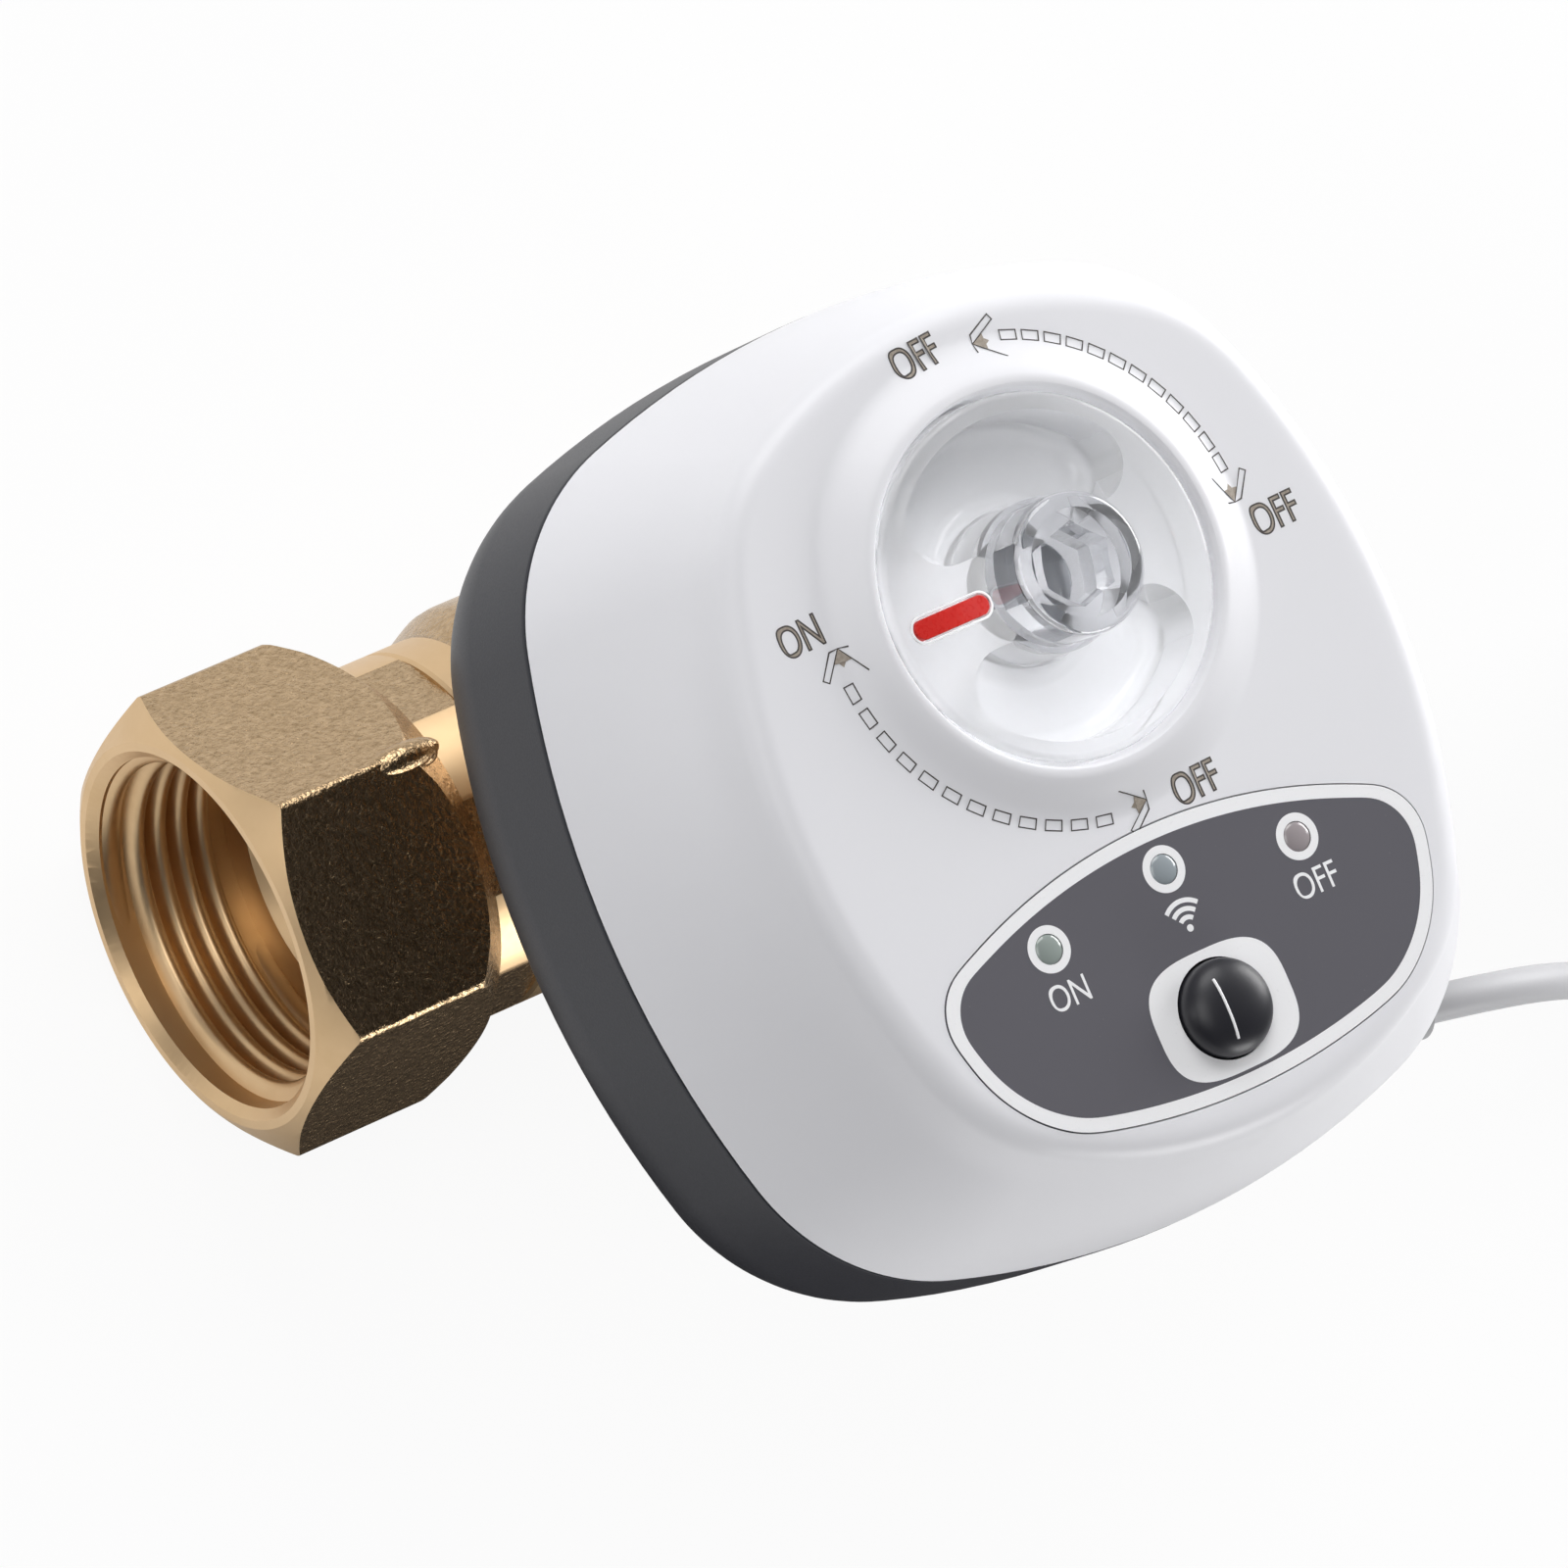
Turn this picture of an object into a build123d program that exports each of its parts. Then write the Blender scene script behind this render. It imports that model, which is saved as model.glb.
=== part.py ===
# Motorised ball valve for a G1 water pipe: a two-piece brass valve that stands on its hexagonal
# ends, and on its stem a moulded actuator with a hand knob, a control panel and a low-voltage cord.
# Millimetres. +Z is up along the stem, +X along the pipe, and the control panel is towards -Y.
# The origin is on the surface that the valve stands on, under the middle of the actuator.
from build123d import *
import math
import os

# Driving places
stem_y = 13.5  # the stem's axis, ahead of the middle of the housing
body_hex_flats = 41.0  # across flats, and the valve stands on one of them
pipe_z = body_hex_flats / 2
stem_to_top = 81.75  # pipe axis up to the flat top of the cover
top_z = pipe_z + stem_to_top
cut_overrun = 1.0  # how far every cut runs past the face it opens

# Pipe ports, inside thread G1, bored here at the thread's major diameter
port_radius = 16.625
port_depth = 14.0
mouth_chamfer = 0.9
port_floor_radius = 13.0  # where the funnel to the water way starts
funnel_depth = 2.4
water_radius = 9.75

# End cap, screwed into the body from the inlet side
cap_hex_flats = 38.0
cap_hex_turn = 9.4  # degrees past square where its thread came tight
cap_hex_length = 15.0
cap_face_radius = 18.35
cap_face_chamfer = 2.6
cap_neck_end = 21.0
collar_radius = 17.0
collar_flats = 32.8
collar_length = 5.2
spigot_length = 6.4
spigot_gap = 0.05

# Valve body
barrel_radius = collar_radius
chamber_radius = 14.1
chamber_wall = 4.6
chamber_half = 13.4
barrel_rise = 3.5
outlet_neck_radius = 16.4
outlet_hex_length = 22.0
outlet_hex_rise = 7.5
outlet_face_radius = 19.8
outlet_face_chamfer = 3.0
neck_radius = 11.0
pad_radius = 21.0
pad_thickness = 4.0
pad_pitch_radius = 18.0  # four screws on a 36 mm circle
pad_screw_turn = 45.0  # degrees, from the pipe's direction to the first screw
pad_screw_radius = 2.5
pad_screw_depth = 6.8
neck_fillet = 2.5

# Ball, seats and stem
ball_radius = 13.8
ball_slot_width = 4.2
ball_slot_depth = 3.4
seat_depth = 4.8
seat_bore_gap = 0.15
seat_edge_gap = 0.1
ball_gap = 0.04
stem_radius = 4.5
stem_gap = 0.05
stem_collar_radius = 5.65
stem_collar_rise = 0.15  # above the ball
stem_collar_height = 1.5
washer_thickness = 0.6
tongue_width = 4.0
tongue_length = 8.0
stem_square = 6.0
stem_square_length = 6.5
seal_groove_depth = 1.0
seal_width = 1.6
seal_spacing = 4.2
gasket_place = 1.6
gasket_depth = 1.2
gasket_width = 1.6

# Housing outline at the joint between cover and base: four bowed sides and four round corners
case_half_width = 41.5
case_half_length = 42.0
case_corner_radius = 20.5
case_corner_set_x = 23.2  # from the middle of a side in to the corner's centre
case_corner_set_y = 23.3
case_wall = 2.4
cover_height = 18.7  # joint up to the flat top
base_depth = 28.3
base_round = 17.6
seam_gap = 0.2

# Cover: a sloping skirt, then a steeper step to the flat top
top_half_width = 32.2
top_half_length = 37.2
top_corner_radius = 17.0
top_corner_set_x = 20.2
top_corner_set_y = 20.2
top_shift = 0.8  # the flat top sits a little nearer the stem
step_height = 4.6
step_spread = 1.2
valley_soft = 0.9
valley_slope_share = 0.42  # how far the skirt moves out for its height just below the valley
top_edge_round = 2.2
top_wall = 2.4

# Knob well in the cover
knob_radius = 16.0
knob_side_gap = 0.35
well_radius = knob_radius + knob_side_gap
well_depth = 7.4
well_wall = 1.8
well_collar_radius = 20.0
well_collar_height = 2.0
well_collar_top = 1.6
well_floor = 2.0

# Knob
knob_rim_height = 1.95  # above the flat top
knob_floor_gap = 0.6
knob_rim_round = 0.7
pocket_radius = 14.2
pocket_floor = 1.8
bar_half_width = 5.0
pocket_corner = 2.2
boss_radius = 6.2
boss_height = 7.7
boss_round = 0.6
socket_flats = 6.45
socket_turn = 75.0
socket_depth = 6.0
pointer_start = 6.5
pointer_end = 14.2
pointer_width = 1.8
pointer_depth = 0.9
pointer_proud = 0.15
pointer_gap = 0.03
knob_socket_height = 4.6

# Panel, lamps and button
panel_half_width = 25.2
panel_top_y = -22.7  # from the knob's axis
panel_bottom_y = -46.6
panel_recess = 0.45
panel_thickness = 0.5
panel_edge_gap = 0.1
lamp_x = 13.32
lamp_y = -28.8
radio_lamp_y = -26.65
lamp_radius = 1.3
lamp_gap = 0.05
lens_flange_radius = 1.9
lens_flange_height = 0.8
led_width = 2.0
led_height = 1.0
button_y = -39.45
button_radius = 3.8
button_gap = 0.2
button_skirt_rise = 0.5
button_dome_height = 1.7
button_flange_radius = 4.6
button_flange_height = 0.8
button_travel = 0.8
switch_width = 6.0
switch_height = 3.1
switch_plunger_radius = 1.5

# Case seal and case screws
seal_inset = 0.8
seal_band = 0.9
seal_height = 0.8
lip_gap = 0.15
lip_thickness = 1.2
lip_height = 1.6
screw_x = 24.0
screw_y = 26.0
screw_boss_radius = 3.4
screw_well_radius = 3.1
screw_well_wall = 1.4
screw_radius = 1.45
screw_head_radius = 2.7
screw_head_height = 2.2
screw_shank = 11.5
screw_seat = 2.4
cover_boss_height = 9.0
pilot_gap = 0.1

# Mounting screws from inside the base into the valve's pad
mount_head_radius = 4.3
mount_head_height = 2.8
mount_hole_gap = 0.25

# Gear frame: two steel plates on pillars above the base floor
plate_half_x = 25.0
plate_half_y = 20.5
plate_neck_x = 19.0
plate_low_y = -32.2
plate_high_y = 25.5
plate_thickness = 1.5
plate_corner = 3.0
floor_to_plate = 5.2
pillar_radius = 2.0
pillar_places = [(22.5, 15.0), (-22.5, 15.0), (-11.0, -29.0), (11.0, -29.0)]
frame_screw_radius = 1.2
frame_screw_head = 2.2
frame_screw_head_height = 1.4
frame_screw_length = 4.0
gear_side_gap = 0.5
bush_radius = 7.0
bush_gap = 0.08

# Gears
pressure_angle = 25.0
tooth_backlash = 0.07
tip_share = 0.95
root_share = 1.2
output_module = 0.8
output_teeth = 48
output_face = 5.0
second_module = 0.6
second_teeth = 36
second_face = 3.0
first_module = 0.5
first_teeth = 36
first_face = 2.4
pinion_teeth = 12
pinion_extra = 0.4  # each pinion is this much longer than the wheel it drives
second_direction = -70.0  # degrees, output wheel to second shaft
first_direction = 200.0  # degrees, second shaft to first shaft
motor_direction = 160.0  # degrees, first shaft to motor
gear_pin_radius = 1.25
gear_pin_gap = 0.05
web_depth = 1.2
rim_width = 2.2
hub_radius = 8.0
magnet_radius = 1.5
magnet_length = 2.4
magnet_collar_radius = 8.4
magnet_collar_height = 4.0
sensor_size = (3.0, 4.2, 4.0)
sensor_gap = 0.7

# Motor
motor_radius = 12.0
motor_height = 13.0
motor_shaft_radius = 0.75
motor_collar_radius = 4.0
motor_collar_height = 1.3
motor_ear_width = 6.0
motor_ear_reach = 14.2
motor_ear_thickness = 0.8
motor_ear_direction = 110.0
motor_screw_radius = 1.0
motor_screw_head = 1.9
motor_screw_head_height = 1.2

# Output shaft
shaft_radius = 5.0
shaft_gap = 0.06
shaft_top_radius = 3.4
shaft_flat = 2.4
shaft_socket_play = 0.1
clutch_height = 3.4
clutch_outer = 8.2
ring_radius = 6.6
ring_thickness = 1.0
knob_seal_width = 1.2
knob_seal_height = 1.2

# Circuit board and what stands on it
board_half_x = 20.0
board_low_y = -33.0
board_high_y = -8.0
board_thickness = 1.6
board_corner = 5.0
board_drop = 7.4  # board top below the flat top
board_posts = [(16.6, -11.4), (-16.6, -11.4), (-15.5, -28.5), (15.5, -28.5)]
board_post_radius = 2.3
board_screw_radius = 1.1
board_screw_head = 2.0
board_screw_head_height = 1.2
board_screw_length = 5.0
radio_size = (13.0, 10.0, 2.4)
radio_place = (6.5, -15.5)
chip_size = (5.0, 4.0, 1.6)
chip_places = ((-5.0, -29.0), (-8.5, -23.5), (-10.0, -14.0))
capacitor_radius = 2.6
capacitor_height = 7.0
capacitor_place = (10.2, -26.5)
connector_size = (7.0, 5.0, 5.6)
connector_place = (2.6, -29.5)

# Cord, low voltage, two cores in a round grey jacket
cord_radius = 1.7
cord_exit = (35.6, -34.7, 72.25)  # the outer end of its gland
gland_radius = 2.9
gland_length = 10.5
cord_route = [
    (43.0, -36.0, 72.0),
    (52.6, -38.0, 68.4),
    (61.6, -40.3, 60.4),
    (69.2, -42.7, 49.4),
    (76.2, -45.2, 36.8),
    (83.8, -47.6, 24.2),
    (93.0, -49.4, 13.2),
    (104.6, -50.4, 5.4),
    (117.6, -50.7, 1.75),
]
coil_center = (126.0, -32.0)
coil_mid_radius = 17.0
coil_band = 4 * cord_radius  # two turns side by side
coil_height = 8 * cord_radius  # four layers
plug_start = (129.4, -18.4)
plug_turn = 180.0
plug_grip_radius = 4.6
plug_grip_length = 12.0
plug_relief_length = 6.0
plug_relief_low_radius = 2.3
plug_relief_high_radius = 3.9
plug_barrel_radius = 2.75
plug_barrel_length = 9.0
plug_bore_radius = 1.05

pipe_half_length = chamber_half + spigot_length + collar_length + cap_neck_end  # stem to either port face
outlet_hex_start = pipe_half_length - outlet_hex_length
joint_z = top_z - cover_height
base_z = joint_z - base_depth
floor_z = base_z + case_wall
pad_z = base_z - pad_thickness
plate_z = floor_z + floor_to_plate
knob_axis = Pos(0, stem_y, 0)

pieces = {}


def disc(radius, height, x, y, z):
    """Upright cylinder that stands on height z."""
    return Pos(x, y, z) * Cylinder(radius, height, align=(Align.CENTER, Align.CENTER, Align.MIN))


def block(size, x, y, z):
    """Upright box centred on x, y that stands on height z."""
    return Pos(x, y, z) * Box(*size, align=(Align.CENTER, Align.CENTER, Align.MIN))


def same_way(profile):
    """The outline's points in the order that goes round it anticlockwise."""
    area = sum(a[0] * b[1] - b[0] * a[1] for a, b in zip(profile, profile[1:] + profile[:1]))
    return profile if area > 0 else profile[::-1]


def turned(profile):
    """Solid turned about the upright axis from (radius, height) points."""
    face = make_face(Polyline([(r, 0, z) for r, z in same_way(profile)], close=True))
    return revolve(face, axis=Axis.Z)


def piped(profile):
    """Solid turned about the pipe's axis from (x, radius) points."""
    face = make_face(Polyline([(x, r, 0) for x, r in same_way(profile)], close=True))
    return Pos(0, stem_y, pipe_z) * revolve(face, axis=Axis.X)


def hex_bar(flats, x_start, x_end, turn):
    """Hexagonal bar along the pipe; turn 0 has flats above and below."""
    section = Plane.YZ * Rot(0, 0, turn) * RegularPolygon(flats / 2, 6, major_radius=False)
    return Pos(x_start, stem_y, pipe_z) * extrude(section, x_end - x_start, dir=(1, 0, 0))


def bowed_outline(half_x, half_y, corner, corner_set_x, corner_set_y, inset):
    """Closed outline of four bowed sides and four round corners, moved in by inset."""
    corner_x, corner_y = half_x - corner_set_x, half_y - corner_set_y
    half_x, half_y, corner = half_x - inset, half_y - inset, corner - inset
    reach_x, reach_y = half_x - corner, half_y - corner
    spread = corner_x**2 + corner_y**2
    back_x = (reach_x**2 - spread) / (2 * (corner_x - reach_x))
    back_y = (reach_y**2 - spread) / (2 * (corner_y - reach_y))
    low = math.degrees(math.atan2(corner_y, corner_x + back_x))
    high = math.degrees(math.atan2(corner_y + back_y, corner_x))
    right = CenterArc((-back_x, 0), half_x + back_x, -low, 2 * low)
    top = CenterArc((0, -back_y), half_y + back_y, high, 2 * (90 - high))
    left = right.rotate(Axis.Z, 180)
    bottom = top.rotate(Axis.Z, 180)
    corners = []
    for sign_x, sign_y, start in ((1, 1, low), (-1, 1, 180 - high), (-1, -1, 180 + low), (1, -1, -high)):
        center = (sign_x * corner_x, sign_y * corner_y)
        corners.append(CenterArc(center, corner, start, high - low))
    return make_face([right, corners[0], top, corners[1], left, corners[2], bottom, corners[3]])


def case_outline(inset, z):
    outline = bowed_outline(
        case_half_width, case_half_length, case_corner_radius, case_corner_set_x, case_corner_set_y, inset
    )
    return Pos(0, 0, z) * outline


def top_outline(inset, z):
    outline = bowed_outline(
        top_half_width, top_half_length, top_corner_radius, top_corner_set_x, top_corner_set_y, inset
    )
    return Pos(0, top_shift, z) * outline


def gear(teeth, module, height, turn):
    """Spur gear with involute teeth on a middle plane of z 0 to height, one tooth at turn degrees."""
    pitch = module * teeth / 2
    base = pitch * math.cos(math.radians(pressure_angle))
    tip = pitch + tip_share * module
    root = pitch - root_share * module
    slope = math.radians(pressure_angle)
    half_tooth = math.pi / (2 * teeth) - tooth_backlash / (2 * pitch) + math.tan(slope) - slope
    start = max(base, root)
    rings = [start, (start + pitch + module / 4) / 2, (pitch + tip) / 2, tip]
    flank = []
    for radius in rings:
        roll = math.sqrt(max((radius / base) ** 2 - 1, 0))
        flank.append((radius, half_tooth - roll + math.atan(roll)))
    if base > root:
        flank.insert(0, (root, flank[0][1]))
    points = []
    for tooth in range(teeth):
        middle = math.radians(turn) + 2 * math.pi * tooth / teeth
        for radius, half in flank:
            points.append((radius * math.cos(middle - half), radius * math.sin(middle - half)))
        for radius, half in reversed(flank):
            points.append((radius * math.cos(middle + half), radius * math.sin(middle + half)))
    return extrude(make_face(Polyline(points, close=True)), height)


def step_from(place, direction, distance):
    """Point at a distance from place, in a direction given in degrees."""
    angle = math.radians(direction)
    return (place[0] + distance * math.cos(angle), place[1] + distance * math.sin(angle))


def mirrored(x, y):
    """The four places of a rectangle about the origin."""
    return [(x, y), (-x, y), (-x, -y), (x, -y)]


# End cap: forged brass, hexagon with a turned face and neck, wrench flats on the collar behind it,
# and a screwed spigot that presses the seat ring against the ball.
cap_face = -pipe_half_length
cap_shoulder = cap_face + cap_neck_end + collar_length
cap_end = -chamber_half
cap_corner = cap_hex_flats / math.sqrt(3)
spigot_radius = chamber_radius - spigot_gap
cap_hex = hex_bar(cap_hex_flats, cap_face, cap_face + cap_neck_end, cap_hex_turn) & piped(
    [
        (cap_face, 0),
        (cap_face, cap_face_radius),
        (cap_face + cap_face_chamfer, cap_corner),
        (cap_face + cap_hex_length, cap_corner),
        (cap_face + cap_neck_end, collar_radius),
        (cap_face + cap_neck_end, 0),
    ]
)
cap_collar = hex_bar(
    collar_flats, cap_face + cap_neck_end, cap_shoulder, cap_hex_turn
) & piped(
    [
        (cap_face + cap_neck_end, 0),
        (cap_face + cap_neck_end, collar_radius),
        (cap_shoulder, collar_radius),
        (cap_shoulder, 0),
    ]
)
gasket_start = cap_shoulder + gasket_place
spigot = piped(
    [
        (cap_shoulder, 0),
        (cap_shoulder, spigot_radius),
        (gasket_start, spigot_radius),
        (gasket_start, spigot_radius - gasket_depth),
        (gasket_start + gasket_width, spigot_radius - gasket_depth),
        (gasket_start + gasket_width, spigot_radius),
        (cap_end, spigot_radius),
        (cap_end, 0),
    ]
)


def port_bore(face, inward, end):
    """Threaded port with its entry chamfer, the funnel behind it and the water way to end."""
    return piped(
        [
            (face - inward * cut_overrun, 0),
            (face - inward * cut_overrun, port_radius + mouth_chamfer),
            (face, port_radius + mouth_chamfer),
            (face + inward * mouth_chamfer, port_radius),
            (face + inward * port_depth, port_radius),
            (face + inward * port_depth, port_floor_radius),
            (face + inward * (port_depth + funnel_depth), water_radius),
            (end, water_radius),
            (end, 0),
        ]
    )


pieces["end_cap"] = cap_hex + cap_collar + spigot - port_bore(cap_face, 1, cap_end + cut_overrun)
pieces["cap_gasket"] = piped(
    [
        (gasket_start, spigot_radius - gasket_depth),
        (gasket_start, spigot_radius),
        (gasket_start + gasket_width, spigot_radius),
        (gasket_start + gasket_width, spigot_radius - gasket_depth),
    ]
)

# Valve body: forged brass barrel with the ball chamber, the outlet hexagon, and the neck and round
# pad that carry the actuator.
body_corner = body_hex_flats / math.sqrt(3)
chamber_outer = chamber_radius + chamber_wall
barrel = piped(
    [
        (cap_shoulder, 0),
        (cap_shoulder, barrel_radius),
        (-chamber_half - barrel_rise / 2, barrel_radius),
        (-chamber_half + barrel_rise / 2, chamber_outer),
        (chamber_half - barrel_rise / 2, chamber_outer),
        (chamber_half + barrel_rise, outlet_neck_radius),
        (outlet_hex_start + cut_overrun, outlet_neck_radius),
        (outlet_hex_start + cut_overrun, 0),
    ]
)
outlet_hex = hex_bar(body_hex_flats, outlet_hex_start, pipe_half_length, 0) & piped(
    [
        (outlet_hex_start, 0),
        (outlet_hex_start, outlet_neck_radius),
        (outlet_hex_start + outlet_hex_rise, body_corner),
        (pipe_half_length - outlet_face_chamfer, body_corner),
        (pipe_half_length, outlet_face_radius),
        (pipe_half_length, 0),
    ]
)
neck = disc(neck_radius, pad_z - pipe_z, 0, stem_y, pipe_z)
pad = disc(pad_radius, pad_thickness, 0, stem_y, pad_z)
neck_and_pad = neck + pad
neck_and_pad = fillet(
    [e for e in neck_and_pad.edges().filter_by(GeomType.CIRCLE)
     if abs(e.radius - neck_radius) < stem_gap and abs(e.center().Z - pad_z) < stem_gap],
    neck_fillet,
)
body = barrel + outlet_hex + neck_and_pad
chamber = piped(
    [
        (cap_shoulder - cut_overrun, 0),
        (cap_shoulder - cut_overrun, chamber_radius),
        (chamber_half, chamber_radius),
        (chamber_half, 0),
    ]
)
collar_z = pipe_z + ball_radius + stem_collar_rise
washer_z = collar_z + stem_collar_height
stem_recess_top = washer_z + washer_thickness
body -= chamber + port_bore(pipe_half_length, -1, chamber_half - cut_overrun)
body -= disc(stem_radius + stem_gap, base_z - pipe_z + cut_overrun, 0, stem_y, pipe_z)
body -= disc(stem_collar_radius + stem_gap, stem_recess_top - pipe_z, 0, stem_y, pipe_z)
pad_screw_places = [
    step_from((0, stem_y), pad_screw_turn + 90 * quarter, pad_pitch_radius) for quarter in range(4)
]
for x, y in pad_screw_places:
    body -= disc(pad_screw_radius, pad_thickness + cut_overrun, x, y, pad_z - cut_overrun / 2)
pieces["valve_body"] = body

# Ball: chromed brass with the water way across it and a slot for the stem's tongue.
ball_center = Pos(0, stem_y, pipe_z)
water_way = piped(
    [
        (-ball_radius - cut_overrun, 0),
        (-ball_radius - cut_overrun, water_radius),
        (ball_radius + cut_overrun, water_radius),
        (ball_radius + cut_overrun, 0),
    ]
)
slot_z = pipe_z + ball_radius - ball_slot_depth
slot = block((2 * ball_radius, ball_slot_width, ball_slot_depth + cut_overrun), 0, stem_y, slot_z)
pieces["ball"] = ball_center * Sphere(ball_radius) - water_way - slot

# Seat rings: two white rings that the ball turns against.
seat_inner = water_radius + seat_bore_gap
seat_outer = chamber_radius - seat_edge_gap
seat_front = chamber_half - seat_depth
seat_round = ball_radius + ball_gap


def seat_point(angle):
    """Point of the seat's hollow face, at an angle in degrees from the pipe's axis."""
    return (seat_round * math.cos(math.radians(angle)), seat_round * math.sin(math.radians(angle)))


seat_start = math.degrees(math.asin(seat_inner / seat_round))
seat_end = math.degrees(math.acos(seat_front / seat_round))
seat_middle = (seat_start + seat_end) / 2
hollow_face = ThreePointArc(*[seat_point(angle) for angle in (seat_start, seat_middle, seat_end)])
seat_back = Polyline(
    seat_point(seat_end),
    (seat_front, seat_outer),
    (chamber_half, seat_outer),
    (chamber_half, seat_inner),
    seat_point(seat_start),
)
seat = revolve(make_face([hollow_face, seat_back]), axis=Axis.X)
pieces["seat_rings"] = Compound(
    [(ball_center * Rot(0, 0, turn) * seat).solids()[0] for turn in (0, 180)]
)

# Stem: tongue in the ball's slot, a collar that can't blow out, two seal grooves, a square top.
stem_top = base_z + stem_square_length
seal_low = pad_z - seal_spacing - seal_width
seal_starts = [seal_low, seal_low + seal_spacing]
stem_profile = [
    (0, collar_z),
    (stem_collar_radius, collar_z),
    (stem_collar_radius, washer_z),
    (stem_radius, washer_z),
]
for start in seal_starts:
    stem_profile += [
        (stem_radius, start),
        (stem_radius - seal_groove_depth, start),
        (stem_radius - seal_groove_depth, start + seal_width),
        (stem_radius, start + seal_width),
    ]
stem_profile += [(stem_radius, base_z), (0, base_z)]
tongue = block(
    (tongue_length, tongue_width, collar_z - slot_z - stem_gap), 0, stem_y, slot_z + stem_gap
)
tongue &= ball_center * Cylinder(tongue_length / 2, ball_radius * 4)
square = block((stem_square, stem_square, stem_square_length), 0, stem_y, base_z)
pieces["valve_stem"] = knob_axis * turned(stem_profile) + tongue + square
pieces["stem_seals"] = Compound(
    [
        (knob_axis * turned(
            [
                (stem_radius - seal_groove_depth, start),
                (stem_radius, start),
                (stem_radius, start + seal_width),
                (stem_radius - seal_groove_depth, start + seal_width),
            ]
        )).solids()[0]
        for start in seal_starts
    ]
)
pieces["thrust_washer"] = knob_axis * turned(
    [
        (stem_radius + stem_gap, washer_z),
        (stem_collar_radius, washer_z),
        (stem_collar_radius, stem_recess_top),
        (stem_radius + stem_gap, stem_recess_top),
    ]
)

# Base shell: dark moulding with a deep round under its sides, a seal groove and an inner lip on
# its rim, wells for the case screws and bosses for the gear frame.
base = extrude(case_outline(0, base_z), base_depth - seam_gap)
base = fillet(base.faces().sort_by(Axis.Z)[0].edges(), base_round)
base_outer = base
inner_round = base_round - case_wall
bowl = []
for step in (90, 60, 30, 0):
    angle = math.radians(step)
    inset = base_round - inner_round * math.cos(angle)
    bowl.append(case_outline(inset, base_z + base_round - inner_round * math.sin(angle)))
bowl.append(case_outline(case_wall, joint_z + cut_overrun))
base -= loft(bowl, ruled=True)
rim_z = joint_z - seam_gap
groove = extrude(case_outline(seal_inset, rim_z - seal_height), seal_height + cut_overrun)
groove -= extrude(case_outline(seal_inset + seal_band, rim_z - seal_height), seal_height + cut_overrun)
base -= groove
pieces["case_seal"] = extrude(
    case_outline(seal_inset, rim_z - seal_height), seal_height + seam_gap
) - extrude(case_outline(seal_inset + seal_band, rim_z - seal_height), seal_height + seam_gap)
skirt_lean = (case_half_width - top_half_width - step_spread) / (cover_height - step_height)
lip_inset = case_wall + lip_gap + skirt_lean * lip_height
lip_foot = rim_z - lip_height
lip = extrude(case_outline(lip_inset, lip_foot), 2 * lip_height)
lip -= extrude(case_outline(lip_inset + lip_thickness, lip_foot), 2 * lip_height)
lip_ledge = extrude(case_outline(case_wall - lip_gap, lip_foot), lip_height)
lip_ledge -= extrude(case_outline(lip_inset + lip_thickness, lip_foot), lip_height)
base += lip + lip_ledge

screw_places = mirrored(screw_x, screw_y)
screw_seat_z = rim_z - screw_seat
for x, y in screw_places:
    base += disc(screw_well_radius + screw_well_wall, rim_z - floor_z, x, y, floor_z) & base_outer
for x, y in screw_places:
    base -= disc(screw_well_radius, screw_seat_z - base_z + cut_overrun, x, y, base_z - cut_overrun)
    shank_hole = screw_radius + mount_hole_gap
    base -= disc(shank_hole, screw_seat + 2 * cut_overrun, x, y, screw_seat_z - cut_overrun)
base -= disc(stem_radius + mount_hole_gap, case_wall + 2 * cut_overrun, 0, stem_y, base_z - cut_overrun)
for x, y in pad_screw_places:
    base -= disc(pad_screw_radius + mount_hole_gap, case_wall + 2 * cut_overrun, x, y, base_z - cut_overrun)
    base -= disc(mount_head_radius + mount_hole_gap, mount_head_height, x, y, floor_z)
for x, y in pillar_places:
    base += disc(pillar_radius + case_wall / 2, floor_to_plate, x, y, floor_z)
    base -= disc(frame_screw_radius - pilot_gap, floor_to_plate, x, y, floor_z + pilot_gap)
first_run = Vector(*cord_route[0]) - Vector(*cord_exit)
gland_axis = Plane(origin=cord_exit, z_dir=-first_run).location
gland_upright = (Align.CENTER, Align.CENTER, Align.MIN)
base -= gland_axis * Cylinder(gland_radius, 2 * gland_length, align=gland_upright)
pieces["base_shell"] = base

# Cable gland: rubber bush through the base's wall, and the cord starts at its outer end.
gland = Cylinder(gland_radius - lamp_gap, gland_length, align=gland_upright)
gland -= Pos(0, 0, case_wall) * Cylinder(cord_radius, gland_length, align=gland_upright)
pieces["cable_gland"] = gland_axis * gland

# Mounting screws: four M5 screws through the base floor into the valve's pad.
mount_screws = []
for x, y in pad_screw_places:
    screw = disc(mount_head_radius, mount_head_height, x, y, floor_z)
    screw += disc(pad_screw_radius - pilot_gap, pad_screw_depth, x, y, floor_z - pad_screw_depth)
    mount_screws.append(screw.solids()[0])
pieces["mounting_screws"] = Compound(mount_screws)

# Cover shell: white moulding with the sloping skirt, the steeper step, the flat top, the knob's
# well with its raised collar, the panel's recess, and openings for three lamps and the button.
step_z = top_z - step_height


def valley_outline(side):
    """Outline a little below or above the valley between the skirt and the step, to soften it."""
    lift = side * valley_soft
    slope_share = step_spread / step_height if side > 0 else valley_slope_share
    return top_outline(lift * slope_share - step_spread, step_z + lift)


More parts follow.
